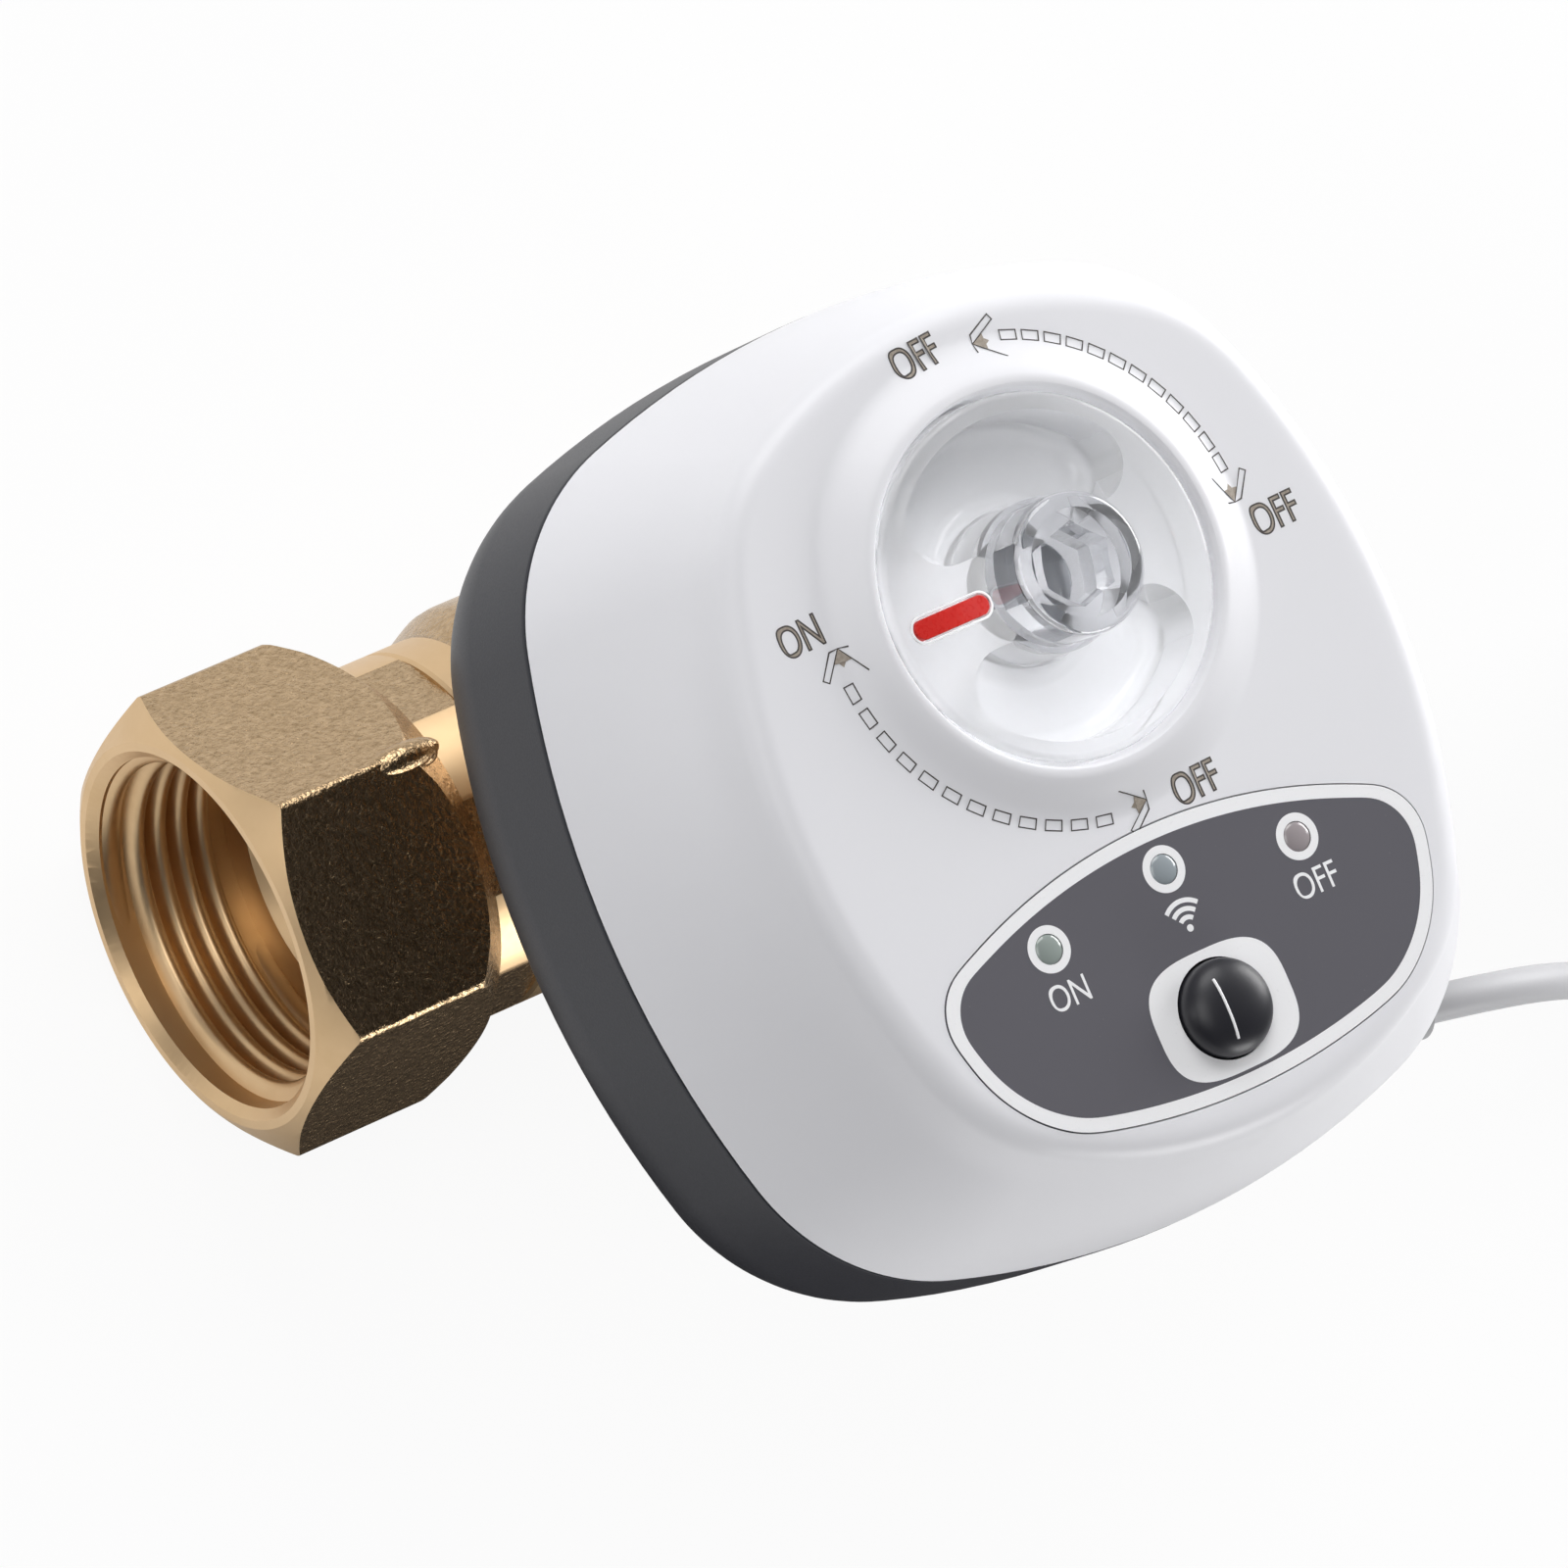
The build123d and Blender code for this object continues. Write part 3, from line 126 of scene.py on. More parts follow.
# The world is white to the camera, and otherwise goes from dark to pale towards the back.
pale_side = (0.35, 0.93, -0.1)
world = bpy.data.worlds.new("room")
bpy.context.scene.world = world
world.use_nodes = True
made, joined = world.node_tree.nodes, world.node_tree.links
place = made.new("ShaderNodeTexCoord")
toward = add_node(made, "ShaderNodeVectorMath", {1: pale_side}, operation="DOT_PRODUCT")
lift = add_node(made, "ShaderNodeMapRange", {"From Min": -1})
shade = made.new("ShaderNodeValToRGB")
dark_end, pale_end = shade.color_ramp.elements
dark_end.position, dark_end.color = 0.42, (0.038, 0.038, 0.043, 1)
pale_end.position, pale_end.color = 0.97, (0.46, 0.46, 0.48, 1)
path = made.new("ShaderNodeLightPath")
seen_white = add_node(made, "ShaderNodeMix", {7: (1, 1, 1, 1)}, data_type="RGBA")
wire(joined, [
    (place, "Generated", toward, 0), (toward, "Value", lift, "Value"), (lift, "Result", shade, "Fac"),
    (shade, "Color", seen_white, 6), (path, "Is Camera Ray", seen_white, "Factor"),
    (seen_white, 2, made["Background"], "Color"),
])

object_middle = (0.0, 0.0, 0.06)


def light_panel(name, place, size, power):
    """Soft rectangular lamp that faces the object's middle."""
    data = bpy.data.lights.new(name, "AREA")
    data.shape = "RECTANGLE"
    data.size, data.size_y = size
    data.energy = power
    lamp = bpy.data.objects.new(name, data)
    bpy.context.scene.collection.objects.link(lamp)
    aim = (Vector(object_middle) - Vector(place)).to_track_quat("-Z", "Y")
    lamp.matrix_world = Matrix.Translation(place) @ aim.to_matrix().to_4x4()


light_panel("key_panel", (0.15, 0.95, 0.85), (0.8, 0.7), 7.0)
light_panel("camera_panel", (-0.66, 0.2, 1.25), (0.8, 0.8), 5.2)
light_panel("right_panel", (1.0, 0.2, 0.35), (0.6, 0.5), 8.0)
light_panel("left_panel", (-1.0, 0.22, 0.42), (0.35, 0.6), 1.3)
light_panel("front_panel", (0.35, -1.1, 0.25), (0.6, 0.5), 6.4)

# Power cord: two cores in a round grey jacket, 0.93 m long, hand-wound into a small coil beside the
# valve where it isn't needed. It leaves a rubber gland in the base and ends in a barrel plug.
cord_diameter = 3.4
cord_exit = (35.6, -34.7, 72.25)
cord_route = [
    (43.0, -36.0, 72.0),
    (52.6, -38.0, 68.4),
    (61.6, -40.3, 60.4),
    (69.2, -42.7, 49.4),
    (76.2, -45.2, 36.8),
    (83.8, -47.6, 24.2),
    (93.0, -49.4, 13.2),
    (104.6, -50.4, 5.4),
    (117.6, -50.7, 1.75),
]
coil_center = (126.0, -32.0)
outer_turn, inner_turn = 18.7, 15.3
coil_turns = [
    (outer_turn, 0), (inner_turn, 0), (inner_turn, 1), (outer_turn, 1),
    (outer_turn, 2), (inner_turn, 2), (inner_turn, 3), (outer_turn, 3),
]
turn_share = 0.9
cross_share = 0.14
turn_points = 16
lead_to_plug = [
    (144.7, -33.0, 13.0),
    (143.7, -26.6, 15.2),
    (140.2, -21.6, 16.8),
    (135.4, -18.9, 17.8),
    (132.0, -18.4, 18.0),
    (129.4, -18.4, 18.0),
]


def coil_points():
    """Turns side by side in four layers. Each is a little short of a circle, and crosses to the next."""
    points = []
    for step in range(round(len(coil_turns) * turn_share * turn_points) + 1):
        part = step / turn_points
        now = min(int(part / turn_share), len(coil_turns) - 1)
        after = min(now + 1, len(coil_turns) - 1)
        crossed = (part - now * turn_share - turn_share + cross_share) / cross_share
        crossed = min(max(crossed, 0), 1)
        slide = 3 * crossed**2 - 2 * crossed**3
        radius = coil_turns[now][0] + (coil_turns[after][0] - coil_turns[now][0]) * slide
        layer = coil_turns[now][1] + (coil_turns[after][1] - coil_turns[now][1]) * slide
        angle = 2 * math.pi * part - math.pi / 2
        points.append((
            coil_center[0] + radius * math.cos(angle),
            coil_center[1] + radius * math.sin(angle),
            cord_route[-1][2] + layer * cord_diameter,
        ))
    return points


def surface_grain():
    """Shader group: blotchy colour change between two colours, and a fine bump height."""
    group = bpy.data.node_groups.new("surface grain", "ShaderNodeTree")
    for name, kind, value in (
        ("Position", "NodeSocketVector", (0, 0, 0)),
        ("Light colour", "NodeSocketColor", (0.8, 0.8, 0.8, 1)),
        ("Dark colour", "NodeSocketColor", (0.6, 0.6, 0.6, 1)),
        ("Blotch scale", "NodeSocketFloat", 60.0),
        ("Grain scale", "NodeSocketFloat", 900.0),
        ("Smooth", "NodeSocketFloat", 0.3),
        ("Rough", "NodeSocketFloat", 0.5),
    ):
        socket = group.interface.new_socket(name=name, in_out="INPUT", socket_type=kind)
        socket.default_value = value
    for name, kind in (("Colour", "Color"), ("Roughness", "Float"), ("Height", "Float")):
        group.interface.new_socket(name=name, in_out="OUTPUT", socket_type="NodeSocket" + kind)
    made, joined = group.nodes, group.links
    inside = made.new("NodeGroupInput")
    outside = made.new("NodeGroupOutput")
    blotch = add_node(made, "ShaderNodeTexNoise", {"Detail": 4})
    grain = add_node(made, "ShaderNodeTexNoise", {"Detail": 3})
    colour = add_node(made, "ShaderNodeMix", {}, data_type="RGBA")
    rough = made.new("ShaderNodeMix")
    wire(joined, [
        (inside, "Position", blotch, "Vector"), (inside, "Position", grain, "Vector"),
        (inside, "Blotch scale", blotch, "Scale"), (inside, "Grain scale", grain, "Scale"),
        (blotch, "Fac", colour, "Factor"), (inside, "Light colour", colour, 6),
        (inside, "Dark colour", colour, 7), (grain, "Fac", rough, "Factor"),
        (inside, "Smooth", rough, 2), (inside, "Rough", rough, 3), (colour, 2, outside, "Colour"),
        (rough, 0, outside, "Roughness"), (grain, "Fac", outside, "Height"),
    ])
    return group


grain_group = surface_grain()


def grained(name, light, dark, smooth, rough, metallic=0.0, blotch=60.0, grain=900.0, bump=0.02,
            depth=0.0001):
    """Material whose colour, roughness and bump come from the surface grain group."""
    material, made, joined, shader = new_material(name)
    shader.inputs["Metallic"].default_value = metallic
    place = made.new("ShaderNodeTexCoord")
    surface = add_node(made, "ShaderNodeGroup", {
        "Light colour": (*light, 1), "Dark colour": (*dark, 1), "Blotch scale": blotch,
        "Grain scale": grain, "Smooth": smooth, "Rough": rough,
    }, node_tree=grain_group)
    relief = add_node(made, "ShaderNodeBump", {"Strength": bump, "Distance": depth})
    wire(joined, [
        (place, "Object", surface, "Position"), (surface, "Colour", shader, "Base Color"),
        (surface, "Roughness", shader, "Roughness"), (surface, "Height", relief, "Height"),
        (relief, "Normal", shader, "Normal"),
    ])
    return material


jacket = grained(
    "grey_jacket", (0.55, 0.55, 0.565), (0.50, 0.50, 0.515), 0.42, 0.56,
    blotch=70.0, grain=3600.0, bump=0.16, depth=0.00005,
)
cord_data = bpy.data.curves.new("power_cord_line", "CURVE")
cord_data.dimensions = "3D"
cord_data.bevel_depth = cord_diameter / 2 * mm
cord_data.bevel_resolution = 6
cord_data.resolution_u = 8
cord_data.use_fill_caps = True
line = cord_data.splines.new("NURBS")
cord_points = [cord_exit] + cord_route + coil_points() + lead_to_plug
line.points.add(len(cord_points) - 1)
for point, (x, y, z) in zip(line.points, cord_points):
    point.co = (x * mm, y * mm, z * mm, 1)
line.order_u = 3
line.use_endpoint_u = True
cord = bpy.data.objects.new("lead", cord_data)
bpy.context.scene.collection.objects.link(cord)
cord.data.materials.append(jacket)
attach(cord, "valve")
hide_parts("power_cord", "cord_coil")

# Valve body: brass forging, shot-blasted, with its ports, barrel ends and pad turned bright. It has
# the ball's chamber, the outlet hexagon, and a neck with the round pad that carries the actuator.
stem_y = 13.5
pipe_z = 20.5
top_z = 102.25
cap_joint_x = -19.8
outlet_x = 46.0
on_axis = 0.002
water_radius, port_radius = 9.75, 16.68
most_attempts, loose_allowed, least_change = 4, 8, 0.001 * mm**3
port_profile = [
    (water_radius, 29.6), (13.0, 32.0), (port_radius, 32.0), (port_radius, 45.1), (18.52, outlet_x + 1),
]


def take(piece):
    """Only this piece is selected and active."""
    start_clean()
    piece.select_set(True)
    bpy.context.view_layer.objects.active = piece


def close_mesh(merge=0.0):
    """Ends the edit of a mesh: points nearer than merge are made one, and all faces look outwards."""
    bpy.ops.mesh.select_all(action="SELECT")
    if merge:
        bpy.ops.mesh.remove_doubles(threshold=merge * mm)
    bpy.ops.mesh.normals_make_consistent(inside=False)
    bpy.ops.object.mode_set(mode="OBJECT")


def turned(name, profile, steps=144):
    """Round solid on the Z axis through (radius, height) points, in mm.

    A circle is pushed up and resized from point to point. A profile that doesn't end where it began
    is closed flat, at the axis.
    """
    points = list(profile)
    if points[0] != points[-1]:
        if points[0][0] > on_axis:
            points.insert(0, (on_axis, points[0][1]))
        if points[-1][0] > on_axis:
            points.append((on_axis, points[-1][1]))
    start_clean()
    radius, start = points[0]
    bpy.ops.mesh.primitive_circle_add(
        vertices=steps, radius=radius * mm, fill_type="NOTHING", location=(0, 0, start * mm)
    )
    piece = bpy.context.object
    piece.name = name
    bpy.ops.object.mode_set(mode="EDIT")
    bpy.ops.mesh.select_all(action="SELECT")
    for (radius, low), (next_radius, high) in zip(points, points[1:]):
        bpy.ops.mesh.extrude_region_move(TRANSFORM_OT_translate={"value": (0, 0, (high - low) * mm)})
        part = next_radius / radius
        bpy.ops.transform.resize(value=(part, part, 1))
    close_mesh(0.01)
    bpy.ops.object.transform_apply(location=True, rotation=True, scale=True)
    return piece


def put(piece, place=(0, 0, 0), rotation=(0, 0, 0)):
    """Turns and moves a piece, then keeps that in its mesh."""
    take(piece)
    piece.location = [c * mm for c in place]
    piece.rotation_euler = [math.radians(a) for a in rotation]
    bpy.ops.object.transform_apply(location=True, rotation=True, scale=True)
    return piece


def along_pipe(piece):
    return put(piece, (0, stem_y, pipe_z), (0, 90, 0))


def measured(data):
    """Volume of a mesh, and how many of its edges don't lie between two faces."""
    mesh = bmesh.new()
    mesh.from_mesh(data)
    volume = mesh.calc_volume()
    loose = sum(len(edge.link_faces) != 2 for edge in mesh.edges)
    mesh.free()
    return volume, loose


def join_shape(piece, tool, way="DIFFERENCE"):
    """Cuts, joins or crosses the piece with a tool shape, and takes the tool away.

    Now and then the solver leaves a bore shut or a wall torn. That shows as an unchanged volume or as
    many loose edges, and the step is then done again from the mesh as it was.
    """
    take(piece)
    before = piece.data
    volume_before, loose_before = measured(before)
    for attempt in range(most_attempts):
        piece.data = before.copy()
        step = piece.modifiers.new("shape", "BOOLEAN")
        step.operation = way
        step.solver = "EXACT"
        step.object = tool
        bpy.ops.object.modifier_apply(modifier=step.name)
        volume, loose = measured(piece.data)
        if abs(volume - volume_before) > least_change and loose <= loose_before + loose_allowed:
            break
    bpy.data.meshes.remove(before)
    bpy.data.objects.remove(tool)
    return piece


def soften(piece, width, angle=30, segments=3):
    """Small rounds on the sharp edges, smooth shading, and normals that follow the large faces."""
    take(piece)
    if width:
        edge = piece.modifiers.new("edge", "BEVEL")
        edge.width = width * mm
        edge.segments = segments
        edge.limit_method = "ANGLE"
        edge.angle_limit = math.radians(angle)
        bpy.ops.object.modifier_apply(modifier=edge.name)
    bpy.ops.object.shade_smooth_by_angle(angle=math.radians(angle + 8))
    weight = piece.modifiers.new("weight", "WEIGHTED_NORMAL")
    weight.keep_sharp = True
    bpy.ops.object.modifier_apply(modifier=weight.name)
    return piece


def paint(piece, material):
    """The piece has this material and no other."""
    piece.data.materials.clear()
    piece.data.materials.append(material)


def prism(name, points, low, high):
    """Upright solid on a closed outline of (x, y) points, in mm."""
    start_clean()
    bpy.ops.mesh.primitive_circle_add(vertices=len(points), radius=1, fill_type="NGON")
    piece = bpy.context.object
    piece.name = name
    for vertex, (x, y) in zip(piece.data.vertices, points):
        vertex.co = (x * mm, y * mm, low * mm)
    bpy.ops.object.mode_set(mode="EDIT")
    bpy.ops.mesh.select_all(action="SELECT")
    bpy.ops.mesh.extrude_region_move(TRANSFORM_OT_translate={"value": (0, 0, (high - low) * mm)})
    close_mesh()
    return piece


def worn_hexagon(flats, turn, radius):
    """Outline of a hexagon whose corners are rounded to a radius."""
    reach = flats / math.sqrt(3) - radius * 2 / math.sqrt(3)
    points = []
    for k in range(6):
        middle = math.radians(turn + 60 * k)
        for step in range(7):
            a = middle + math.radians(-30 + 10 * step)
            points.append((reach * math.cos(middle) + radius * math.cos(a),
                           reach * math.sin(middle) + radius * math.sin(a)))
    return points


forged_brass = grained(
    "forged_brass", (0.70, 0.505, 0.305), (0.30, 0.20, 0.10), 0.20, 0.32,
    metallic=1.0, blotch=1500.0, grain=2100.0, bump=0.55, depth=0.00028,
)
turned_brass = grained(
    "turned_brass", (0.78, 0.56, 0.33), (0.68, 0.475, 0.26), 0.34, 0.46,
    metallic=1.0, blotch=220.0, grain=1400.0, bump=0.03, depth=0.00004,
)
barrel = along_pipe(turned("barrel", [
    (16.7, cap_joint_x), (17.0, -19.5), (17.0, -15.6), (17.35, -14.9), (18.1, -13.4), (18.55, -12.4),
    (18.7, -11.4), (18.7, 11.4), (18.55, 12.4), (18.1, 13.6), (17.2, 15.4), (16.6, 16.6),
    (16.4, 17.6), (16.38, 25.0),
], 143))
outlet_hex = prism("outlet_hex", worn_hexagon(41.0, 90, 1.3), 23.0, outlet_x + 1)
outlet_round = turned("outlet_round", [
    (16.4, 24.0), (16.9, 24.6), (18.6, 26.2), (20.6, 28.2), (22.4, 30.2), (23.4, 31.5),
    (23.8, 32.6), (23.8, 42.9), (19.8, outlet_x),
])
outlet = along_pipe(join_shape(outlet_hex, outlet_round, "INTERSECT"))
body = join_shape(barrel, outlet, "UNION")
neck = put(turned("neck", [
    (11.0, 0.0), (11.0, 28.0), (11.2, 29.2), (11.8, 30.1), (12.7, 30.6), (13.6, 30.75),
    (20.6, 30.75), (21.0, 31.1), (21.0, 34.4), (20.7, 34.75),
]), (0, stem_y, pipe_z))
body = join_shape(body, neck, "UNION")
body.name = "forged_body"
chamber = along_pipe(turned("chamber", [
    (14.1, -21.0), (14.1, 13.4), (water_radius, 13.4), *port_profile,
]))
body = join_shape(body, chamber)
body = join_shape(body, put(turned("stem_bore", [
    (5.7, 0.0), (5.7, 15.9), (4.55, 15.9), (4.55, 36.0),
]), (0, stem_y, pipe_z)))
pad_holes = []
for quarter in range(4):
    angle = math.radians(45 + 90 * quarter)
    hole = turned("pad_hole", [(2.5, -1.0), (2.5, 6.0)], 32)
    pad_holes.append(put(hole, (18 * math.cos(angle), stem_y + 18 * math.sin(angle), 51.25)))
take(pad_holes[0])
for hole in pad_holes:
    hole.select_set(True)
bpy.ops.object.join()
body = join_shape(body, pad_holes[0])
soften(body, 0.28, 28, 3)


def two_finishes(piece, first, second, turned_face):
    """Gives faces for which turned_face says so the second material."""
    paint(piece, first)
    piece.data.materials.append(second)
    for face in piece.data.polygons:
        x, y, z = (c / mm for c in face.center)
        radius = math.hypot(y - stem_y, z - pipe_z)
        if turned_face(x, y, z, radius, face.normal):
            face.material_index = 1


def body_turned(x, y, z, radius, normal):
    outlet_face = x > 42.6 and normal.x > 0.25
    band = x < -15.4 and radius < 17.1
    pad = z > 50.6 and (abs(normal.z) < 0.5 or z > 55)
    inside = radius < 17.8 and x > 13.0 and z < 40
    return outlet_face or band or pad or inside


two_finishes(body, forged_brass, turned_brass, body_turned)
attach(body, "valve")
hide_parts("valve_body")

# End cap: forged brass with a hexagon for the spanner, its face, chamfer and collar turned. It is
# screwed into the body behind the hexagon and presses the seat ring against the ball.
cap_hex = prism("cap_hex", worn_hexagon(38.0, 9.4 + 90, 0.9), -47.0, -24.0)
cap_round = turned("cap_round", [
    (18.35, -46.0), (19.6, -45.2), (21.3, -43.95), (22.3, -43.2), (22.3, -31.6),
    (21.6, -29.9), (20.4, -28.3), (18.9, -26.8), (17.6, -25.6), (17.0, -25.0),
])
cap = join_shape(cap_hex, cap_round, "INTERSECT")
collar_hex = prism("collar_hex", worn_hexagon(32.8, 9.4 + 90, 0.8), -27.0, -19.0)
collar_round = turned("collar_round", [(17.0, -25.05), (17.0, -20.2), (16.6, cap_joint_x)])
cap = join_shape(cap, join_shape(collar_hex, collar_round, "INTERSECT"), "UNION")
spigot = turned("spigot", [
    (14.05, -20.2), (14.05, -18.2), (12.85, -18.2), (12.85, -16.6), (14.05, -16.6),
    (14.05, -13.4),
])
cap = join_shape(cap, spigot, "UNION")
cap_bore_profile = [(radius, -x) for radius, x in reversed(port_profile)]
cap_bore = turned("cap_bore", cap_bore_profile + [(water_radius, -12.0)])
cap = along_pipe(join_shape(cap, cap_bore))
cap.name = "inlet_cap"
# The forging's parting line leaves a seam of long lumps on two opposite corners: each has its place
# along the pipe, its half length, its radius and its distance from the pipe's axis.
seams = []
upper_lumps = [(-34.0, 7.5, 0.62, 21.25), (-30.3, 4.0, 1.45, 20.75), (-27.9, 1.5, 1.3, 20.2)]
lower_lumps = [(-34.0, 7.5, 0.58, 21.0), (-28.6, 2.6, 1.1, 20.2)]
for corner_angle, lumps in ((69.4, upper_lumps), (249.4, lower_lumps)):
    angle = math.radians(corner_angle)
    for seam_x, half_length, thick, reach in lumps:
        start_clean()
        bpy.ops.mesh.primitive_uv_sphere_add(segments=32, ring_count=16, radius=mm)
        seam = bpy.context.object
        seam.scale = (half_length, thick, thick)
        seam.rotation_euler = (angle, 0, 0)
        seam.location = (
            seam_x * mm, (stem_y + reach * math.cos(angle)) * mm, (pipe_z + reach * math.sin(angle)) * mm
        )
        bpy.ops.object.transform_apply(location=True, rotation=True, scale=True)
        bpy.ops.object.shade_smooth()
        seams.append(seam)
soften(cap, 0.3, 28, 3)
take(cap)
for seam in seams:
    seam.select_set(True)
bpy.ops.object.join()


def cap_turned(x, y, z, radius, normal):
    front = normal.x < -0.3 and x < -42.5
    inside = radius < 17.7 and x < -25.5
    collar_band = x > -25.2 and radius > 16.7
    return front or inside or collar_band or (x > -25.2 and radius < 15)


two_finishes(cap, forged_brass, turned_brass, cap_turned)
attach(cap, "valve")
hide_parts("end_cap")

# Pipe threads: parallel inside thread G1, eleven turns to the inch, cut with a tap in both brass
# ports. Only the ridges are drawn, and each fades out at both ends.
thread_pitch = 2.309
thread_root = 16.8
thread_crest = 15.2


def inside_thread(name, start, turns):
    """Ridge of the thread: its section run round the pipe's axis by a screw modifier."""
    start_clean()
    section = [
        (thread_root, -1.14), (16.3, -0.92), (15.75, -0.66), (15.35, -0.38), (thread_crest, 0.0),
        (15.35, 0.38), (15.75, 0.66), (16.3, 0.92), (thread_root, 1.14),
    ]
    bpy.ops.mesh.primitive_circle_add(vertices=len(section), radius=mm, fill_type="NOTHING")
    piece = bpy.context.object
    piece.name = name
    for vertex, (radius, height) in zip(piece.data.vertices, section):
        vertex.co = (radius * mm, 0, height * mm)
    wind = piece.modifiers.new("wind", "SCREW")
    wind.screw_offset = thread_pitch * mm
    wind.iterations = turns
    wind.steps = 96
    wind.render_steps = 96
    wind.use_merge_vertices = False
    bpy.ops.object.modifier_apply(modifier=wind.name)
    last = len(piece.data.vertices) // len(section) - 1
    for index, vertex in enumerate(piece.data.vertices):
        step = index // len(section)
        fade = min(1, step / 36, (last - step) / 36)
        radius = math.hypot(vertex.co.x, vertex.co.y)
        part = 1 - (1 - radius / (thread_root * mm)) * fade
        vertex.co.x *= part * thread_root * mm / radius
        vertex.co.y *= part * thread_root * mm / radius
    bpy.ops.object.mode_set(mode="EDIT")
    bpy.ops.mesh.select_all(action="SELECT")
    bpy.ops.mesh.fill_holes(sides=len(section))
    bpy.ops.mesh.normals_make_consistent(inside=False)
    bpy.ops.object.mode_set(mode="OBJECT")
    put(piece, (start, stem_y, pipe_z), (0, 90, 0))
    bpy.ops.object.shade_smooth_by_angle(angle=math.radians(50))
    piece.data.materials.append(turned_brass)
    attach(piece, "valve")
    return piece


inside_thread("inlet_thread", -44.1, 5)
inside_thread("outlet_thread", 32.6, 5)

# Base shell: dark grey moulding with a deep round under its sides, fine spark texture, a rubber
# gland for the cord and four deep wells for the case screws. It is screwed to the valve's pad.
base_low, rim_z, joint_z = 55.25, 83.35, 83.55
case_half = (41.5, 42.0)
case_corner, case_set = 20.5, (23.2, 23.3)
top_half = (32.2, 37.2)
top_corner, top_set = 17.0, (20.2, 20.2)
top_shift = 0.8
base_round = 17.6
wall = 2.4
bow_steps, corner_steps = 20, 22


def bowed_ring(half, corner, corner_set, inset, z, shift=0.0):
    """Ring of points on four bowed sides and four round corners. Every ring has as many points."""
    middle = [half[k] - corner_set[k] for k in (0, 1)]
    reach = [half[k] - corner for k in (0, 1)]
    spread = middle[0] ** 2 + middle[1] ** 2
    back = [(reach[k] ** 2 - spread) / (2 * (middle[k] - reach[k])) for k in (0, 1)]
    low = math.atan2(middle[1], middle[0] + back[0])
    high = math.atan2(middle[1] + back[1], middle[0])
    arcs = [
        (-back[0], 0, half[0] + back[0], -low, low, bow_steps),
        (middle[0], middle[1], corner, low, high, corner_steps),
        (0, -back[1], half[1] + back[1], high, math.pi - high, bow_steps),
        (-middle[0], middle[1], corner, math.pi - high, math.pi - low, corner_steps),
        (back[0], 0, half[0] + back[0], math.pi - low, math.pi + low, bow_steps),
        (-middle[0], -middle[1], corner, math.pi + low, math.pi + high, corner_steps),
        (0, back[1], half[1] + back[1], math.pi + high, 2 * math.pi - high, bow_steps),
        (middle[0], -middle[1], corner, 2 * math.pi - high, 2 * math.pi - low, corner_steps),
    ]
    points = []
    for x, y, radius, start, end, steps in arcs:
        for step in range(steps):
            angle = start + (end - start) * step / steps
            points.append((
                x + (radius - inset) * math.cos(angle),
                y + (radius - inset) * math.sin(angle) + shift,
                z,
            ))
    return points


def case_ring(inset, z):
    return bowed_ring(case_half, case_corner, case_set, inset, z)


def top_ring(inset, z):
    return bowed_ring(top_half, top_corner, top_set, inset, z, top_shift)


def between(first, second, share):
    """Ring that lies a share of the way from one ring to another."""
    return [tuple(a + (b - a) * share for a, b in zip(p, q)) for p, q in zip(first, second)]


def bent(first, corner, last, steps):
    """Rings that turn smoothly from one ring to another, round a third that is the sharp corner."""
    shares = [step / steps for step in range(1, steps)]
    return [between(between(first, corner, s), between(corner, last, s), s) for s in shares]


def ring_solid(name, rings):
    """Closed solid: a flat face on the first ring, pushed on from ring to ring."""
    start_clean()
    bpy.ops.mesh.primitive_circle_add(vertices=len(rings[0]), radius=1, fill_type="NGON")
    piece = bpy.context.object
    piece.name = name
    for vertex, point in zip(piece.data.vertices, rings[0]):
        vertex.co = [c * mm for c in point]
    bpy.ops.object.mode_set(mode="EDIT")
    bpy.ops.mesh.select_all(action="SELECT")
    for ring in rings[1:]:
        bpy.ops.mesh.extrude_region_move()
        mesh = bmesh.from_edit_mesh(piece.data)
        for vertex, point in zip([v for v in mesh.verts if v.select], ring):
            vertex.co = [c * mm for c in point]
        bmesh.update_edit_mesh(piece.data)
    close_mesh()
    return piece


def quarter_rings(radius, middle_z, steps, back):
    """Rings down the deep round under the base's sides, or back up it, at a radius."""
    rings = []
    for step in range(steps + 1):
        angle = math.pi / 2 * (steps - step if back else step) / steps
        inset = base_round - radius * math.cos(angle)
        rings.append(case_ring(inset, middle_z - radius * math.sin(angle)))
    return rings


dark_plastic = grained(
    "dark_plastic", (0.024, 0.025, 0.033), (0.018, 0.019, 0.026), 0.34, 0.50,
    blotch=35.0, grain=5200.0, bump=0.22, depth=0.00005,
)
dark_plastic.node_tree.nodes["Principled BSDF"].inputs["Specular IOR Level"].default_value = 0.36
round_z = base_low + base_round
base_outside = quarter_rings(base_round, round_z, 22, True)
base_outside += [case_ring(0, rim_z - 0.35), case_ring(0.08, rim_z - 0.1), case_ring(0.3, rim_z)]
base_inside = [case_ring(wall, rim_z)] + quarter_rings(base_round - wall, round_z, 12, False)
base = ring_solid("base_outer", base_outside + base_inside)
case_screw_places = [(24, 26), (-24, 26), (-24, -26), (24, -26)]
screw_seat_z = rim_z - 2.4
wells = None
for x, y in case_screw_places:
    well = put(turned("well", [(4.5, 0), (4.5, 27.9)], 48), (x, y, base_low))
    wells = join_shape(well, wells, "UNION") if wells else well
wells = join_shape(wells, ring_solid("base_filled", base_outside), "INTERSECT")
base = join_shape(base, wells, "UNION")
